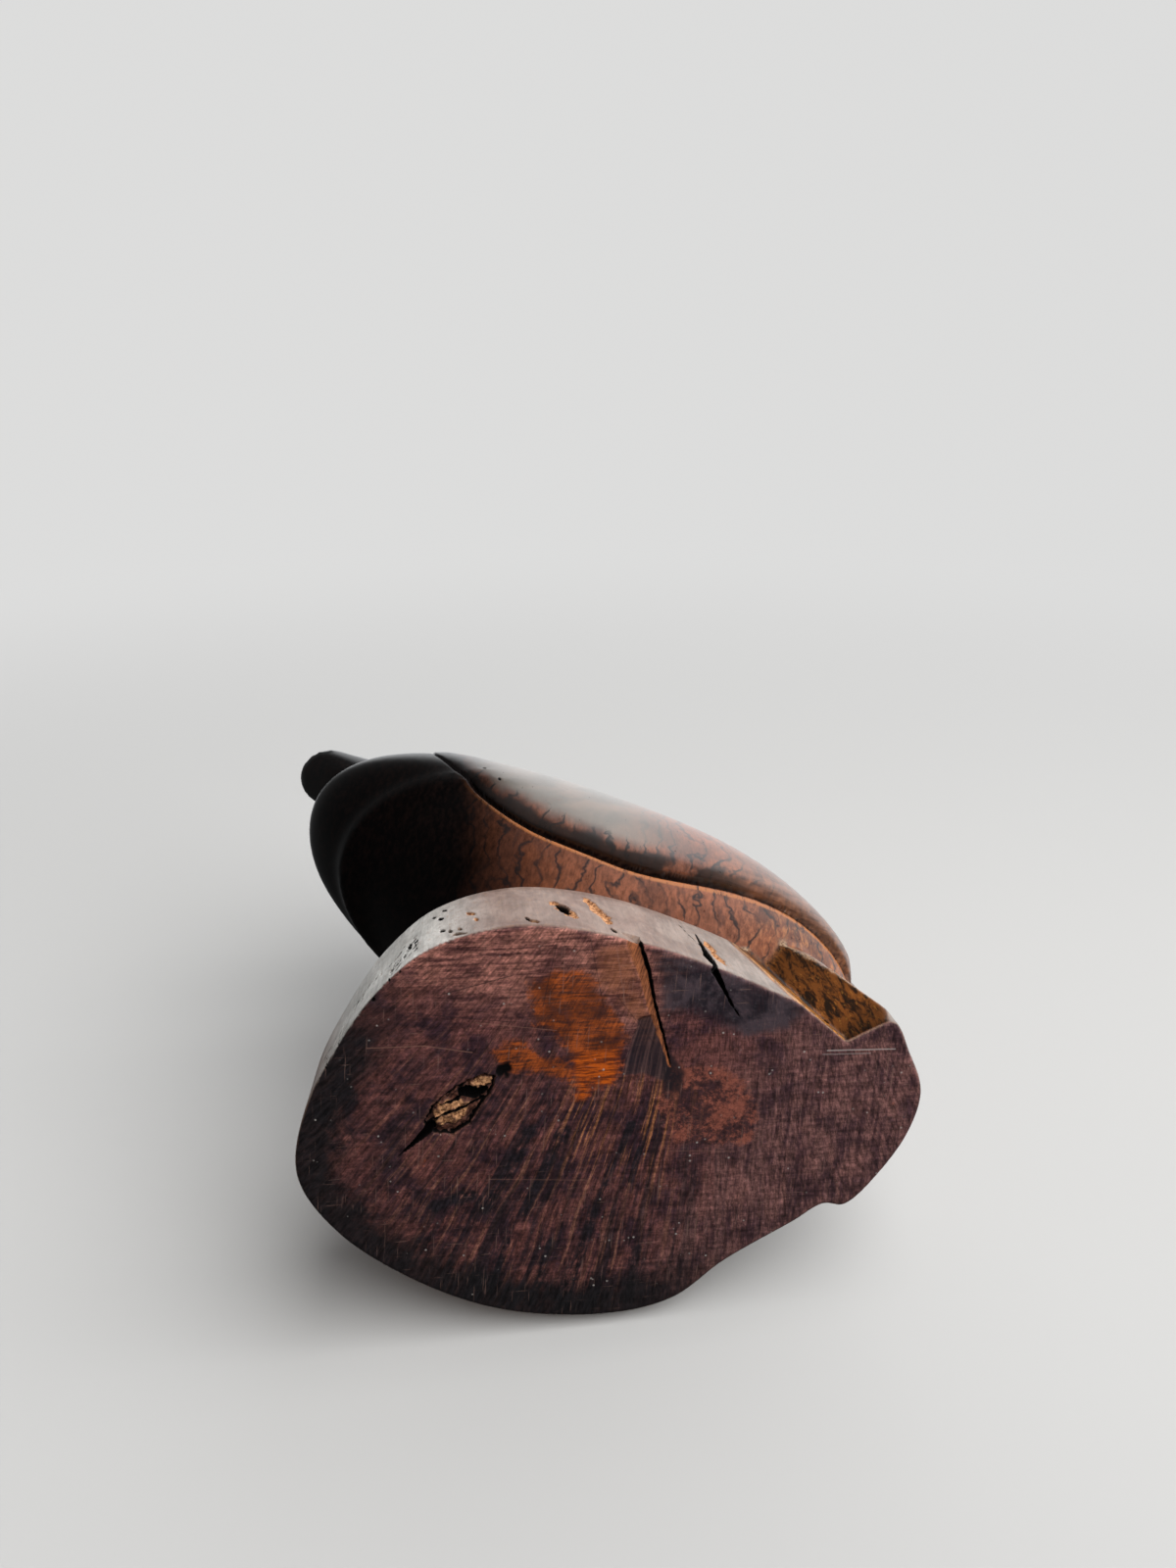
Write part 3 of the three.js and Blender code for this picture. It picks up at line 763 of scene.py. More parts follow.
# Broad dark streaks in the lower half: where each starts and ends, and half its width
DARK_STREAKS = [
    ((-2.6, -14), (-2.3, -30), 1.3), ((-2.1, -29), (-2.5, -62), 1.9), ((17.6, -21), (20.4, -41), 2.5),
    ((10.7, -19), (12.2, -40), 2.0), ((24, -39), (31, -43), 2.2), ((4.6, -45), (3.4, -61), 1.5),
    ((-6, -19), (-7, -27), 1.0), ((13.5, -47), (12.5, -60), 1.2), ((-14, -42), (-17, -55), 1.6),
]

# Long scratches in the underside: start, end, half their width, how strong they are, and their colour
PALE_SCRATCH = (0.42, 0.36, 0.34)
WARM_SCRATCH = (0.26, 0.13, 0.10)
DARK_SCRATCH = (0.010, 0.008, 0.010)
LONG_SCRATCHES = [
    ((-36.1, 13), (-50.3, 17.4), 0.2, 0.7, PALE_SCRATCH), ((-35.5, 11.9), (-45.5, 15), 0.16, 0.4, PALE_SCRATCH),
    ((45, 2.5), (32.5, 10.6), 0.2, 0.6, DARK_SCRATCH), ((54.7, -12.1), (44.2, -8.6), 0.18, 0.5, WARM_SCRATCH),
    ((44.2, -8.6), (34.6, -7.4), 0.18, 0.5, WARM_SCRATCH), ((49.6, -2.7), (29.2, 1.1), 0.18, 0.45, DARK_SCRATCH),
    ((26.5, 21), (24.4, 6), 0.16, 0.5, DARK_SCRATCH), ((20.2, 22.4), (12.5, 9), 0.15, 0.45, DARK_SCRATCH),
    ((24.5, 19.2), (21.6, 10), 0.15, 0.4, WARM_SCRATCH), ((10.9, 12.4), (-0.5, 4.2), 0.15, 0.4, DARK_SCRATCH),
    ((36, -1), (20, 1.8), 0.14, 0.4, WARM_SCRATCH), ((14.4, 21.8), (8.6, 11), 0.15, 0.4, WARM_SCRATCH),
    ((-12, -18), (-26, -14.5), 0.14, 0.3, WARM_SCRATCH), ((22, -34), (2, -29), 0.13, 0.3, WARM_SCRATCH),
]


def area_share(flat, outline, soft=1.2):
    return 1 - ease(outline_distance(flat, outline), -soft, soft)


def paint_shares(points, normals, wear):
    """What the material reads at each point of the skin, by name."""
    under = ease(-normals[:, 2], 0.5, 0.85) * (points[:, 2] < 2)
    on_slab = (1 - ease(np.abs(slab(points)), 0.4, 1.2)) * (1 - under)
    from_back, from_front = notch_walls(points)
    fin = on_slab * ease(notch(points), -0.7, -0.2)
    edge, _ = wing_edge(points)
    flat = points[:, :2]
    inward = -slab_edge_distance(*flat.T)
    orange = np.maximum(*(area_share(flat, outline, 3) for outline in ORANGE_AREAS))
    return {
        "underside": under,
        "rim": on_slab - fin,
        "fin": fin,
        "notch_front": fin * ease(from_back - from_front, 0, 1),
        "notch_edge": (on_slab + under) * ease(notch_edge(points), -0.42, -0.15),
        "black": wear.black,
        "pale": wear.pale,
        "flaked": wear.flaked,
        "knot_wood": wear.knot_wood,
        "bevelled": wear.bevelled,
        "wing_edge": np.where(on_body(points) > 0.5, np.clip(edge, -9, 9), -9),
        "inward": np.clip(inward, -1, 12),
        "orange_area": orange,
        "bright_patch": area_share(flat, BRIGHT_PATCH, 2.5),
        "blue_area": area_share(flat, BLUE_AREA, 4),
        "red_area": area_share(flat, RED_AREA, 3),
        "crack_shade": area_share(flat, CRACK_SHADE, 1.5),
        "rust_area": area_share(flat, RUST_AREA, 4),
    }


def make_carving():
    """The carving's object, its mesh in metres in the row's frame."""
    points, triangles = make_skin()
    normals = unit(outward(points))
    wear = Wear(points)
    moved = points + normals * (wing_relief(points) - wear.depth)[:, None]
    mesh = bpy.data.meshes.new("duck_carving")
    mesh.vertices.add(len(moved))
    mesh.vertices.foreach_set("co", ((moved + BIRD_ORIGIN) * METRES).ravel())
    mesh.loops.add(triangles.size)
    mesh.loops.foreach_set("vertex_index", triangles.ravel())
    mesh.polygons.add(len(triangles))
    mesh.polygons.foreach_set("loop_start", np.arange(0, triangles.size, 3))
    mesh.polygons.foreach_set("use_smooth", np.ones(len(triangles), bool))
    mesh.update(calc_edges=True)
    mesh.validate()
    for name, share in paint_shares(points, normals, wear).items():
        mesh.attributes.new(name, "FLOAT", "POINT").data.foreach_set("value", share.astype(np.float32))
    made = bpy.data.objects.new("duck_carving", mesh)
    bpy.context.collection.objects.link(made)
    return made


class Graph:
    """Short calls for the nodes of one material or world."""

    def __init__(self, owner):
        owner.use_nodes = True
        self.tree = owner.node_tree
        self.tree.nodes.clear()

    def node(self, kind, inputs, **settings):
        made = self.tree.nodes.new("ShaderNode" + kind)
        for name, setting in settings.items():
            setattr(made, name, setting)
        for name, value in inputs.items():
            if isinstance(value, bpy.types.NodeSocket):
                self.tree.links.new(value, made.inputs[name])
            else:
                made.inputs[name].default_value = value
        return made

    def math(self, operation, a, b=0.0):
        return self.node("Math", {0: a, 1: b}, operation=operation).outputs[0]

    def times(self, a, b):
        return self.math("MULTIPLY", a, b)

    def plus(self, a, b):
        return self.math("ADD", a, b)

    def between(self, value, start, end):
        """0 up to start, 1 past end, smooth between them."""
        inputs = {"Value": value, "From Min": start, "From Max": end}
        return self.node("MapRange", inputs, interpolation_type="SMOOTHSTEP").outputs[0]

    def mix(self, share, a, b):
        def colour(v):
            return v if isinstance(v, bpy.types.NodeSocket) else (*v, 1)
        return self.node("Mix", {0: share, 6: colour(a), 7: colour(b)}, data_type="RGBA").outputs[2]

    def shade(self, colour, amount):
        """The colour, darker or lighter by that factor."""
        return self.node("VectorMath", {0: colour, "Scale": amount}, operation="SCALE").outputs[0]

    def ranged(self, value, start, end, low, high):
        """Low up to start, high past end, and a straight line between them."""
        inputs = {"Value": value, "From Min": start, "From Max": end, "To Min": low, "To Max": high}
        return self.node("MapRange", inputs).outputs[0]

    def blend(self, share, a, b):
        return self.node("Mix", {0: share, 2: a, 3: b}, data_type="FLOAT").outputs[0]

    def point(self, x, y, z):
        return self.node("CombineXYZ", {0: x, 1: y, 2: z}).outputs[0]

    def noise(self, vector, scale, detail=3.0, roughness=0.55, distortion=0.0):
        inputs = {"Vector": vector, "Scale": scale, "Detail": detail, "Roughness": roughness,
                  "Distortion": distortion}
        return self.node("TexNoise", inputs).outputs[0]

    def attribute(self, name):
        return self.node("Attribute", {}, attribute_name=name).outputs["Fac"]


# The two ways that the underside's saw marks and scratches run
SAW_ACROSS = (0.962, -0.275)
SAW_ALONG = (0.330, 0.943)


class Ironwood(Graph):
    """Dark oiled wood: plum brown where sawn, red brown with dark figure where carved, black at the front."""

    def __init__(self):
        self.material = bpy.data.materials.new("ironwood")
        super().__init__(self.material)
        raw = self.node("TexCoord", {}).outputs["Object"]
        inputs = {0: raw, 1: (1 / METRES,) * 3, 2: tuple(-BIRD_ORIGIN)}
        self.place = self.node("VectorMath", inputs, operation="MULTIPLY_ADD").outputs[0]
        self.x, self.y, self.z = self.node("SeparateXYZ", {0: self.place}).outputs
        self.across_saw, self.along_saw = (self.plus(self.times(self.x, run[0]), self.times(self.y, run[1]))
                                           for run in (SAW_ACROSS, SAW_ALONG))
        self.finish()

    def stretched(self, x, y, z, scale, **more):
        """Noise drawn out along an axis wherever its factor is small."""
        factors = (self.times(self.x, x), self.times(self.y, y), self.times(self.z, z))
        return self.noise(self.point(*factors), scale, **more)

    def sawn(self, across, along, scale, **more):
        """Noise drawn out along one of the saw's ways wherever its factor is small."""
        return self.noise(self.point(self.times(self.across_saw, across), self.times(self.along_saw, along), 0.0),
                          scale, **more)

    def lines(self, phase, width):
        """Thin lines where the phase is a whole number."""
        return self.math("SUBTRACT", 1.0, self.between(self.math("PINGPONG", phase, 0.5), 0.0, width))

    def fan(self):
        """Places measured across and along the rays that the underside's grain fans out in."""
        across = self.math("SUBTRACT", self.x, 8.0)
        down = self.math("SUBTRACT", 75.0, self.y)
        angle = self.times(self.math("ARCTAN2", across, down), 110.0)
        away = self.math("SQRT", self.plus(self.times(across, across), self.times(down, down)))
        return angle, away

    def streak(self, start, end, half, wander=0.0):
        """1 on a straight line in the underside, 0 beside it."""
        length = math.dist(start, end)
        run = [(b - a) / length for a, b in zip(start, end)]
        over, up = self.plus(self.x, -start[0]), self.plus(self.y, -start[1])
        along = self.plus(self.times(over, run[0]), self.times(up, run[1]))
        aside = self.plus(self.times(over, -run[1]), self.times(up, run[0]))
        aside = self.plus(aside, self.times(self.plus(self.bands, -0.5), wander))
        beyond = self.math("SUBTRACT", along, self.ranged(along, 0.0, length, 0.0, length))
        away = self.plus(self.math("ABSOLUTE", aside), self.math("ABSOLUTE", beyond))
        return self.math("SUBTRACT", 1.0, self.between(away, 0.4 * half, half))

    def underside(self):
        angle, away = self.fan()
        angle = self.plus(angle, self.times(self.noise(self.place, 0.04, detail=1), 3.0))
        self.bands = self.noise(self.point(angle, self.times(away, 0.045), 0.0), 0.24, detail=5, roughness=0.66)
        self.threads = self.noise(self.point(angle, self.times(away, 0.035), 0.0), 0.85, detail=5, roughness=0.72)
        self.fibres = self.noise(self.point(angle, self.times(away, 0.20), 3.0), 1.3, detail=5, roughness=0.8)
        self.marks = self.sawn(0.09, 1.0, 0.8, detail=5, roughness=0.78)
        self.mottle = self.noise(self.place, 0.11, detail=8, roughness=0.68, distortion=0.4)
        self.grit = self.noise(self.place, 0.95, detail=6, roughness=0.8)
        colour = self.underside_ground()
        colour = self.shade(colour, self.ranged(self.fibres, 0.36, 0.64, 0.42, 1.75))
        colour = self.shade(colour, self.ranged(self.marks, 0.36, 0.64, 0.62, 1.42))
        colour = self.shade(colour, self.ranged(self.grit, 0.36, 0.64, 0.50, 1.60))
        colour = self.orange_areas(colour)
        colour = self.dark_areas(colour)
        colour = self.scratches(colour)
        relief = self.plus(self.times(self.fibres, 0.45), self.times(self.marks, 0.35))
        return colour, self.plus(relief, self.times(self.grit, 0.5))

    def underside_ground(self):
        """Plum brown: paler and redder above, streaked with tan and near black below, even at the rear."""
        lower = self.times(self.between(self.y, 6.0, -18.0), self.ranged(self.x, 28.0, 48.0, 1.0, 0.35))
        blotch = self.between(self.mottle, 0.40, 0.60)
        colour = self.mix(blotch, (0.034, 0.015, 0.020), (0.110, 0.040, 0.035))
        above = self.times(self.between(self.plus(self.y, self.times(self.mottle, 8.0)), 1.0, 16.0),
                           self.between(self.x, -4.0, 5.0))
        brushed = self.between(self.plus(self.times(self.marks, 0.55), self.times(self.mottle, 0.45)), 0.41, 0.58)
        colour = self.mix(self.times(above, 0.92), colour,
                          self.mix(brushed, (0.084, 0.030, 0.028), (0.270, 0.112, 0.086)))
        tan = self.times(self.between(self.threads, 0.52, 0.64), self.plus(0.12, self.times(lower, 0.68)))
        colour = self.mix(tan, colour, (0.190, 0.082, 0.055))
        gaps = self.times(self.between(self.threads, 0.48, 0.38), self.times(lower, 0.75))
        bands = self.times(self.between(self.bands, 0.49, 0.58), self.plus(0.10, self.times(lower, 0.80)))
        colour = self.mix(self.math("MAXIMUM", gaps, bands), colour, (0.015, 0.010, 0.013))
        golden = self.times(self.between(self.y, -34.0, -14.0), self.between(self.math("ABSOLUTE", self.x), 17.0, 7.0))
        golden = self.times(golden, self.times(self.between(self.threads, 0.50, 0.60), self.between(self.y, 0.0, -6.0)))
        colour = self.mix(self.times(golden, 0.75), colour, (0.27, 0.105, 0.040))
        unbroken = self.times(self.between(self.plus(self.fibres, self.mottle), 1.25, 0.98), 0.9)
        for start, end, half in DARK_STREAKS:
            streak = self.times(self.streak(start, end, half, 6.0), unbroken)
            colour = self.mix(streak, colour, (0.012, 0.010, 0.013))
        rear = self.between(self.x, -8.0, -34.0)
        hatched = self.plus(self.times(self.sawn(1.0, 0.06, 0.9, detail=6, roughness=0.8), 0.6),
                            self.times(self.mottle, 0.4))
        plum = self.mix(self.between(hatched, 0.43, 0.57), (0.044, 0.021, 0.024), (0.160, 0.076, 0.068))
        return self.mix(self.times(rear, 0.8), colour, plum)

    def area(self, name, low, high, raggedness=1.0):
        """1 well inside one of the underside's areas, its edge broken up by the wood's mottle."""
        patchy = self.plus(self.plus(self.times(self.mottle, 1.3), self.times(self.grit, 0.7)), -1.0)
        return self.between(self.plus(self.attribute(name), self.times(patchy, raggedness)), low, high)

    def orange_areas(self, colour):
        combed = self.sawn(0.12, 1.0, 1.3, detail=5, roughness=0.72)
        uneven = self.shade((0.33, 0.068, 0.011), self.ranged(self.mottle, 0.42, 0.58, 0.40, 1.35))
        orange = self.mix(self.between(self.plus(self.times(combed, 0.6), self.times(self.fibres, 0.4)), 0.42, 0.58),
                          (0.062, 0.019, 0.011), uneven)
        rusty = self.mix(self.between(self.marks, 0.40, 0.60), (0.105, 0.034, 0.018), (0.30, 0.105, 0.045))
        colour = self.mix(self.times(self.area("rust_area", 0.40, 1.05, 1.4), 0.7), colour, rusty)
        colour = self.mix(self.times(self.area("orange_area", 0.40, 0.90, 1.9), 0.9), colour, orange)
        dripping = self.times(self.threads, 9.0)
        bottom = self.between(self.plus(self.y, self.plus(dripping, -4.5)), 4.5, -4.0)
        glow = self.mix(self.between(combed, 0.44, 0.57), (0.150, 0.030, 0.008), (0.560, 0.104, 0.009))
        share = self.times(self.area("bright_patch", 0.4, 1.0, 1.6), self.plus(0.12, self.times(bottom, 0.88)))
        return self.mix(share, colour, glow)

    def dark_areas(self, colour):
        flecked = self.plus(self.times(self.mottle, 0.55), self.times(self.grit, 0.45))
        rust = self.mix(self.between(flecked, 0.45, 0.55), (0.058, 0.024, 0.023), (0.250, 0.076, 0.050))
        colour = self.mix(self.times(self.area("red_area", 0.5, 1.0, 1.6), 0.85), colour,
                          self.shade(rust, self.ranged(self.grit, 0.36, 0.64, 0.6, 1.4)))
        soot = self.mix(self.between(self.mottle, 0.42, 0.58), (0.012, 0.012, 0.017), (0.056, 0.044, 0.054))
        worn_through = self.times(self.between(self.grit, 0.55, 0.66), 0.5)
        soot = self.mix(worn_through, soot, (0.110, 0.098, 0.105))
        colour = self.mix(self.times(self.area("blue_area", 0.45, 1.0), 0.88), colour, soot)
        facet = self.mix(self.between(self.threads, 0.42, 0.62), (0.014, 0.011, 0.015), (0.090, 0.050, 0.048))
        colour = self.mix(self.times(self.area("flaked", 0.55, 1.0, 0.5), 0.88), colour, facet)
        colour = self.mix(self.times(self.area("crack_shade", 0.4, 0.9), 0.85), colour, (0.014, 0.011, 0.014))
        split = self.mix(self.between(self.fibres, 0.38, 0.62), (0.085, 0.026, 0.013), (0.36, 0.118, 0.042))
        colour = self.mix(self.times(self.attribute("bevelled"), 0.9), colour, split)
        inward = self.plus(self.attribute("inward"), self.times(self.mottle, 13.0))
        front_low = self.between(self.plus(self.times(self.x, 0.5), self.times(self.y, -1.0)), 16.0, 44.0)
        stained = self.times(self.math("SUBTRACT", 1.0, self.between(inward, 11.0, 21.0)), front_low)
        colour = self.mix(self.times(stained, 0.93), colour,
                          self.shade((0.010, 0.009, 0.010), self.ranged(self.fibres, 0.40, 0.60, 0.4, 1.5)))
        core = self.mix(self.between(self.fibres, 0.40, 0.60), (0.022, 0.010, 0.009), (0.120, 0.046, 0.030))
        return self.mix(self.attribute("knot_wood"), colour, core)

    def scratches(self, colour):
        """Fine pale scratches across the grain, a few long ones, and specks of white caught in it."""
        along = self.sawn(2.2, 0.09, 1.0, detail=2)
        across = self.sawn(0.12, 2.0, 1.0, detail=3)
        both = self.math("MAXIMUM", self.between(along, 0.64, 0.71), self.between(across, 0.65, 0.72))
        colour = self.mix(self.times(both, 0.38), colour, (0.24, 0.14, 0.115))
        for start, end, half, share, tint in LONG_SCRATCHES:
            colour = self.mix(self.times(self.streak(start, end, half), share), colour, tint)
        dots = self.node("TexVoronoi", {"Vector": self.place, "Scale": 0.55, "Randomness": 1.0})
        small = self.math("SUBTRACT", 1.0, self.between(dots.outputs["Distance"], 0.08, 0.17))
        some = self.between(self.noise(self.place, 0.16, detail=3), 0.54, 0.64)
        return self.mix(self.times(self.times(small, some), 0.7), colour, (0.46, 0.42, 0.39))

    def figure(self):
        """The carved skin: thin dark wavy lines across a red brown ground."""
        broad = self.noise(self.place, 0.045, detail=3, distortion=0.5)
        fine = self.stretched(1.0, 0.45, 0.45, 1.0, detail=6, roughness=0.75)
        wander = self.noise(self.place, 0.08, detail=4, roughness=0.5)
        ground = self.mix(self.between(broad, 0.36, 0.62), (0.078, 0.026, 0.014), (0.150, 0.045, 0.018))
        ground = self.shade(ground, self.ranged(self.x, 10.0, -20.0, 1.0, 1.3))
        golden = self.times(self.between(self.x, -12.0, -45.0), self.between(fine, 0.44, 0.62))
        ground = self.mix(self.times(golden, 0.6), ground, (0.27, 0.110, 0.034))
        ground = self.shade(ground, self.ranged(fine, 0.36, 0.64, 0.58, 1.42))
        wiggle = self.noise(self.place, 0.30, detail=2)
        phase = self.plus(self.times(self.x, 1 / 4.4), self.plus(self.times(wander, 4.0), self.times(wiggle, 0.9)))
        broken = self.between(self.noise(self.place, 0.11, detail=3), 0.36, 0.52)
        lines = self.times(self.lines(phase, 0.16), self.plus(0.42, self.times(broken, 0.52)))
        clouds = self.between(self.stretched(1.0, 0.3, 0.3, 0.22, detail=4, distortion=0.6), 0.52, 0.66)
        ground = self.mix(self.times(clouds, 0.55), ground, (0.034, 0.016, 0.014))
        return self.mix(lines, ground, (0.016, 0.011, 0.011)), lines, broad, fine

    def wing(self, flank, lines, fine):
        """The wing: the flank's figure under a pale grey cover that thickens to the front and the top, partly
        smoke-darkened wood and partly painted sheen, and a dark hem.
        """
        smoke = self.noise(self.place, 0.05, detail=4, roughness=0.5, distortion=1.2)
        hem = self.plus(self.attribute("wing_edge"), self.times(self.plus(smoke, -0.5), 12.0))
        # Painted sheen: the grey over the wing's front and top stands partly for smoke-darkened wood and partly for the
        # reflection of a pale wall.
        smoke_and_sheen_veil = self.times(self.between(self.x, -14.0, 14.0), self.between(hem, 3.0, 8.0))
        smoke_and_sheen_colour = self.mix(self.between(smoke, 0.40, 0.60), (0.120, 0.107, 0.092), (0.165, 0.128, 0.104))
        colour = self.mix(self.times(smoke_and_sheen_veil, 0.94), flank, smoke_and_sheen_colour)
        patches = self.between(self.noise(self.place, 0.10, detail=3), 0.34, 0.46)
        above_hem = self.plus(self.plus(hem, self.times(fine, 2.0)), self.times(lines, -3.5))
        dark_hem = self.times(self.between(above_hem, 5.4, 3.0), self.between(self.x, -26.0, -20.0))
        dark_hem = self.times(dark_hem, self.math("MAXIMUM", patches, self.between(self.x, -2.0, 12.0)))
        colour = self.mix(self.times(dark_hem, 0.92), colour, (0.012, 0.009, 0.008))
        rear = self.times(self.between(self.x, -8.0, -34.0), 0.6)
        grain = self.stretched(0.08, 0.7, 0.7, 1.0, detail=5, roughness=0.68)
        striped = self.mix(self.between(grain, 0.40, 0.60), (0.175, 0.080, 0.046), (0.055, 0.030, 0.020))
        return self.mix(rear, colour, striped)

    def carved(self):
        flank, lines, broad, fine = self.figure()
        edge = self.attribute("wing_edge")
        colour = self.mix(self.between(edge, -0.2, 0.2), flank, self.wing(flank, lines, fine))
        rear = self.ranged(self.x, 0.0, -35.0, 0.0, 0.45)
        below = self.plus(edge, self.times(rear, -1.0))
        # Painted highlight: a thin lit orange line along the lower edge of the groove.
        lit_lip = self.times(self.between(below, -2.9, -2.2), self.between(below, -1.3, -1.7))
        lit_lip = self.times(lit_lip, self.between(fine, 0.34, 0.50))
        colour = self.mix(self.times(lit_lip, 0.85), colour, (0.34, 0.115, 0.030))
        forward = self.math("SUBTRACT", self.x, self.times(self.math("SUBTRACT", self.z, 45.0), 0.36))
        forward = self.plus(forward, self.times(broad, 12.0))
        head = self.between(self.z, 96.0, 108.0)
        dark = self.math("MAXIMUM", self.between(forward, 26.0, 46.0), head)
        dark = self.times(dark, self.math("SUBTRACT", 1.0, self.attribute("rim")))
        warm = self.mix(self.between(fine, 0.4, 0.7), (0.0012, 0.0010, 0.0010), (0.0050, 0.0026, 0.0022))
        colour = self.mix(dark, colour, warm)
        # Near black in the groove under the wing's edge: partly dark stain, partly painted shade of the overhanging
        # edge that the mesh does not have.
        groove = self.times(self.between(below, -1.5, -0.8),
                            self.math("SUBTRACT", 1.0, self.between(self.plus(edge, rear), 0.1, 0.7)))
        return self.mix(self.times(groove, 0.93), colour, (0.004, 0.003, 0.003)), fine, dark, head, edge

    def rim(self):
        """The natural edge, worn smooth: pinkish grey, paler and more pitted at the front, the paleness partly faded
        wood and partly painted sheen.
        """
        cloud = self.noise(self.place, 0.12, detail=6, roughness=0.65, distortion=0.5)
        fleck = self.stretched(1.0, 1.0, 0.3, 1.0, detail=5, roughness=0.75)
        patch = self.between(cloud, 0.36, 0.64)
        warm = self.mix(patch, (0.134, 0.080, 0.062), (0.204, 0.140, 0.112))
        grey = self.mix(patch, (0.160, 0.126, 0.108), (0.240, 0.196, 0.170))
        colour = self.mix(self.between(self.x, 14.0, -14.0), warm, grey)
        # Paler at the front left: partly faded wood, partly painted sheen in place of the light that this part of the
        # rim reflects.
        pale_wood_and_sheen = self.times(self.between(self.x, 36.0, 54.0), self.between(self.y, -30.0, -8.0))
        colour = self.mix(pale_wood_and_sheen, colour, self.mix(patch, (0.420, 0.408, 0.382), (0.590, 0.575, 0.545)))
        upright = self.stretched(0.8, 0.8, 0.06, 0.8, detail=5, roughness=0.72)
        colour = self.shade(colour, self.ranged(upright, 0.36, 0.64, 0.84, 1.14))
        colour = self.shade(colour, self.ranged(fleck, 0.36, 0.64, 0.80, 1.18))
        speckled = self.between(self.noise(self.place, 0.9, detail=4, roughness=0.7), 0.56, 0.64)
        colour = self.mix(self.times(speckled, 0.4), colour, (0.230, 0.125, 0.070))
        return self.mix(self.times(self.between(fleck, 0.58, 0.70), 0.5), colour, (0.085, 0.045, 0.035))

    def fin(self):
        """The sawn notch by the tail: amber with dark marbling, and orange on its front wall."""
        marble = self.stretched(0.9, 0.9, 0.14, 0.75, detail=7, roughness=0.74, distortion=0.5)
        low = self.times(self.ranged(self.z, 0.0, 9.0, 0.40, 1.0), self.ranged(self.z, 10.0, 24.0, 1.05, 0.70))
        colour = self.mix(self.between(marble, 0.42, 0.58), (0.012, 0.006, 0.003), (0.138, 0.044, 0.009))
        glow = self.between(self.stretched(1.2, 1.2, 0.2, 1.2, detail=5, roughness=0.75), 0.57, 0.70)
        colour = self.shade(self.mix(self.times(glow, 0.6), colour, (0.36, 0.150, 0.028)), low)
        orange = self.mix(self.between(marble, 0.42, 0.60), (0.050, 0.018, 0.006), (0.48, 0.180, 0.026))
        sliver = self.times(self.attribute("notch_front"), self.between(self.z, 24.0, 14.0))
        return self.mix(sliver, colour, orange)

    def finish(self):
        under = self.attribute("underside")
        rim, fin = self.attribute("rim"), self.attribute("fin")
        black, pale = self.attribute("black"), self.attribute("pale")
        sawn, relief = self.underside()
        colour, fine, front, head, edge = self.carved()
        colour = self.mix(self.times(rim, self.between(self.z, 31.0, 27.5)), colour, self.rim())
        colour = self.mix(fin, colour, self.fin())
        colour = self.mix(under, colour, sawn)
        splinter = self.noise(self.place, 1.6, detail=5, roughness=0.75)
        fresh = self.mix(self.between(splinter, 0.36, 0.62), (0.120, 0.042, 0.018), (0.56, 0.290, 0.140))
        # Painted highlight: pale streaks along the notch's rounded edges, where they catch the light.
        notch_edge_highlight = self.times(self.attribute("notch_edge"), self.between(splinter, 0.36, 0.56))
        colour = self.mix(self.times(notch_edge_highlight, 0.7), colour, (0.40, 0.26, 0.16))
        colour = self.mix(self.between(pale, 0.15, 0.75), colour, fresh)
        colour = self.mix(self.between(black, 0.1, 0.7), colour, (0.0025, 0.002, 0.002))
        worn = self.math("MAXIMUM", black, pale)
        rough = self.blend(under, self.blend(rim, 0.30, 0.40), 0.50)
        rough = self.plus(rough, self.times(self.math("SUBTRACT", fine, 0.5), 0.16))
        rough = self.blend(worn, rough, 0.85)
        height = self.blend(under, self.times(fine, 0.25), relief)
        height = self.plus(height, self.times(self.times(pale, splinter), 1.6))
        bump = self.node("Bump", {"Height": height, "Strength": 0.45, "Distance": 0.00022})
        bare = self.math("MAXIMUM", self.math("MAXIMUM", under, rim), fin)
        carved_gloss = self.blend(self.between(edge, -0.2, 0.2), 0.6, 1.0)
        gloss = self.blend(front, carved_gloss, self.blend(head, 0.10, 1.0))
        shader = self.node("BsdfPrincipled", {
            "Base Color": colour, "Roughness": rough, "Normal": bump.outputs[0],
            "IOR": 1.5, "Specular IOR Level": self.blend(bare, gloss, self.blend(rim, self.blend(fin, 0.45, 0.16), 0.22)),
        })
        self.node("OutputMaterial", {"Surface": shader.outputs[0]})


# The photograph, in its own pixels: its size, how far its picture plane is, and where the bird's
# upright lines meet. The camera stands below the slab, at a place measured about the bird.
PICTURE = (1200, 1600)
PICTURE_DISTANCE = 1203.0
UPRIGHT_VANISHES = (430, 450)
HEADING = math.radians(20)
CAMERA_PLACE = (79.68, 100.42, -211.29)
SENSOR_WIDTH = 36.0

# The surface that the figurine lies on in the photograph leans this far up from the view's middle
TABLE_TILT = math.radians(24)


def to_row(place):
    return (Vector(place) + Vector(BIRD_ORIGIN)) * METRES


def camera_axes():
    """The camera's right, up and back, about the bird."""
    middle = (PICTURE[0] / 2, PICTURE[1] / 2)
    upright = Vector([(v - m) / PICTURE_DISTANCE for v, m in zip(UPRIGHT_VANISHES, middle)] + [1]).normalized()
    level = (Vector((1, 0, 0)) - upright * upright.x).normalized()
    over = level.cross(upright)
    if over.y > 0:
        over.negate()
    forward = -math.cos(HEADING) * level + math.sin(HEADING) * over
    left = math.sin(HEADING) * level + math.cos(HEADING) * over
    seen = Matrix((forward, left, upright))
    return seen.col[0].copy(), -seen.col[1], -seen.col[2]


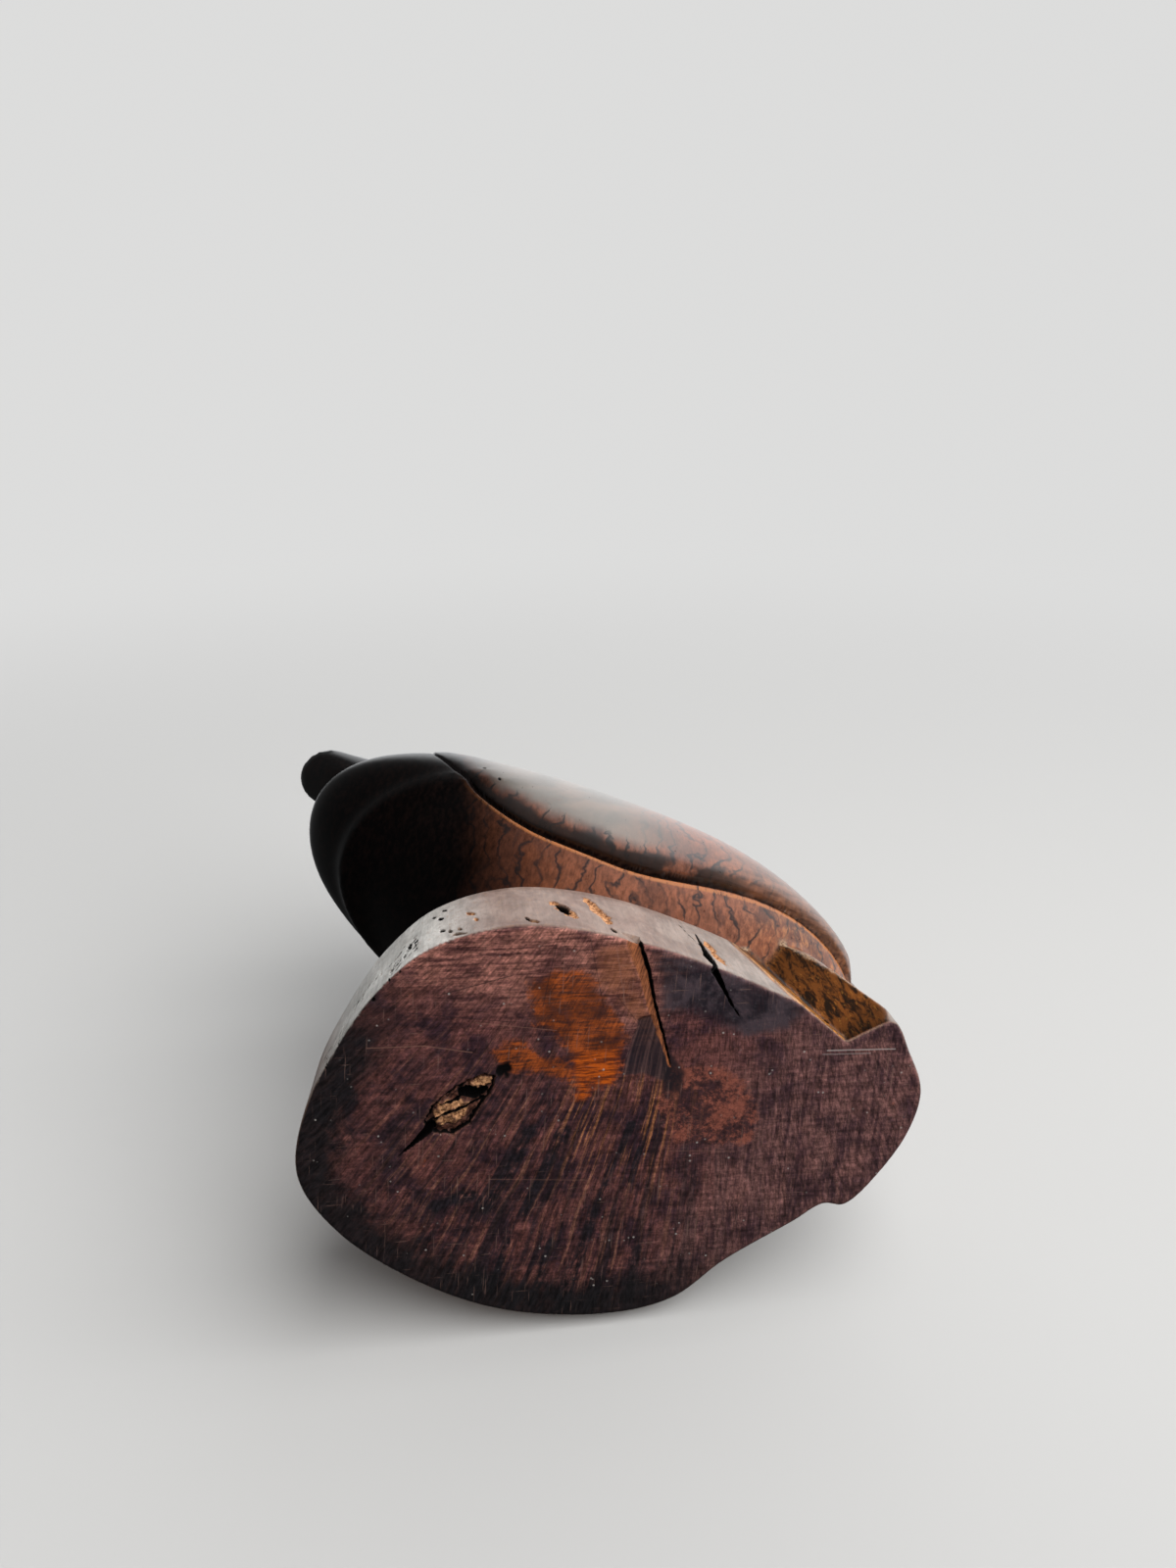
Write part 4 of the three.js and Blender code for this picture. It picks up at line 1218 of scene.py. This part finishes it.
def make_camera():
    data = bpy.data.cameras.new("camera")
    data.sensor_fit = "HORIZONTAL"
    data.sensor_width = SENSOR_WIDTH
    data.lens = SENSOR_WIDTH * PICTURE_DISTANCE / PICTURE[0]
    data.clip_start = 0.01
    camera = bpy.data.objects.new("camera", data)
    turn = Matrix(camera_axes()).transposed().to_4x4()
    camera.matrix_world = Matrix.Translation(to_row(CAMERA_PLACE)) @ turn
    bpy.context.collection.objects.link(camera)
    bpy.context.scene.camera = camera


FLOOR_HALF = 6.0
FLOOR_GAP = 0.0002
FLOOR_COLOUR = (0.46, 0.456, 0.448)
BACKDROP_COLOUR = (0.72, 0.72, 0.715)
# The floor passes into the backdrop between these distances from the figurine, in metres
FLOOR_FADE = (0.18, 0.75)


def make_floor_material():
    """Pale and plain from above, passing into the backdrop far off, and not there from below."""
    material = bpy.data.materials.new("pale_floor")
    graph = Graph(material)
    geometry = graph.node("NewGeometry", {}).outputs
    away = graph.node("VectorMath", {0: geometry["Position"]}, operation="LENGTH").outputs["Value"]
    lit = graph.node("BsdfDiffuse", {"Color": (*FLOOR_COLOUR, 1), "Roughness": 0.5}).outputs[0]
    backdrop = graph.node("Emission", {"Color": (*BACKDROP_COLOUR, 1)}).outputs[0]
    pale = graph.node("MixShader", {0: graph.between(away, *FLOOR_FADE), 1: lit, 2: backdrop}).outputs[0]
    clear = graph.node("BsdfTransparent", {}).outputs[0]
    either = graph.node("MixShader", {0: geometry["Backfacing"], 1: pale, 2: clear}).outputs[0]
    graph.node("OutputMaterial", {"Surface": either})
    return material


def make_floor(name, middle, up, material):
    """A wide plane that only the camera sees, so that it takes no light from the figurine."""
    mesh = bpy.data.meshes.new(name)
    turn = Vector((0, 0, 1)).rotation_difference(up).to_matrix()
    corners = [middle + turn @ Vector((i * FLOOR_HALF, j * FLOOR_HALF, 0))
               for i, j in ((-1, -1), (1, -1), (1, 1), (-1, 1))]
    mesh.from_pydata(corners, [], [(0, 1, 2, 3)])
    mesh.materials.append(material)
    floor = bpy.data.objects.new(name, mesh)
    for ray in ("diffuse", "glossy", "transmission", "shadow"):
        setattr(floor, "visible_" + ray, False)
    bpy.context.collection.objects.link(floor)


def make_floors(carving_object):
    """The floor that the figurine lies on in the photograph, and the one that it stands on."""
    material = make_floor_material()
    lying = lying_up()
    lowest = min((v.co for v in carving_object.data.vertices), key=lambda place: place.dot(lying))
    make_floor("floor_lying", lowest - lying * FLOOR_GAP, lying, material)
    make_floor("floor_standing", Vector((0, 0, -FLOOR_GAP)), Vector((0, 0, 1)), material)


def add_area_light(name, toward, distance, size, power, colour=(1, 1, 1)):
    """A soft square light at that distance in that direction from the figurine."""
    data = bpy.data.lights.new(name, "AREA")
    data.shape = "SQUARE"
    data.size = size
    data.energy = power
    data.color = colour
    light = bpy.data.objects.new(name, data)
    middle = to_row((0, -14, 60))
    back = Vector(toward).normalized()
    light.location = middle + back * distance
    light.rotation_euler = back.to_track_quat("Z", "Y").to_euler()
    light.visible_camera = False
    light.visible_glossy = False
    bpy.context.collection.objects.link(light)


def lying_up():
    """Up from the surface that the figurine lies on in the photograph, about the bird."""
    _, up, back = camera_axes()
    return (up * math.cos(TABLE_TILT) + back * math.sin(TABLE_TILT)).normalized()


def make_light():
    """A soft window to the bird's left and below it, and a pale wall past its back, as it lies."""
    add_area_light("window", (-0.08, 0.84, -0.46), 0.75, 0.9, 11.5)
    add_area_light("overhead", (0.05, 0.30, 0.95), 0.8, 1.0, 5.0)
    add_area_light("fill", (0.25, -0.90, 0.35), 0.9, 0.9, 5.0)
    world = bpy.data.worlds.new("studio")
    bpy.context.scene.world = world
    graph = Graph(world)
    way = graph.node("TexCoord", {}).outputs["Generated"]
    x, y, z = graph.node("SeparateXYZ", {0: way}).outputs
    above = graph.node("VectorMath", {0: way, 1: tuple(lying_up())}, operation="DOT_PRODUCT").outputs["Value"]
    wall = graph.times(graph.between(above, -0.62, -0.2), graph.between(z, -0.45, 0.25))
    wall = graph.times(wall, graph.math("SUBTRACT", 1.0, graph.times(graph.between(x, 0.06, 0.36), 0.94)))
    strength = graph.plus(graph.times(wall, graph.ranged(above, -0.1, 0.4, 1.3, 1.75)), 0.06)
    lit = graph.node("Background", {"Color": (0.96, 0.98, 1.0, 1), "Strength": strength}).outputs[0]
    seen = graph.node("Background", {"Color": (*BACKDROP_COLOUR, 1), "Strength": 1.0}).outputs[0]
    camera_ray = graph.node("LightPath", {}).outputs["Is Camera Ray"]
    either = graph.node("MixShader", {0: camera_ray, 1: lit, 2: seen}).outputs[0]
    graph.node("OutputWorld", {"Surface": either})
    bpy.context.scene.view_settings.view_transform = "Standard"


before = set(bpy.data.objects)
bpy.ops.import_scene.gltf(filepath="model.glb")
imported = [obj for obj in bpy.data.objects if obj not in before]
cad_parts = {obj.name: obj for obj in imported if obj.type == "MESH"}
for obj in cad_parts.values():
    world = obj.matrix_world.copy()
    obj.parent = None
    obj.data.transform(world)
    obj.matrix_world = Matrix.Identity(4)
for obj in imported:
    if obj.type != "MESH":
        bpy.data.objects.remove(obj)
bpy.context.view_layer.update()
duck = make_carving()
duck.data.materials.append(Ironwood().material)
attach(duck, "root")
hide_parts("ironwood_duck")
make_camera()
make_floors(duck)
make_light()
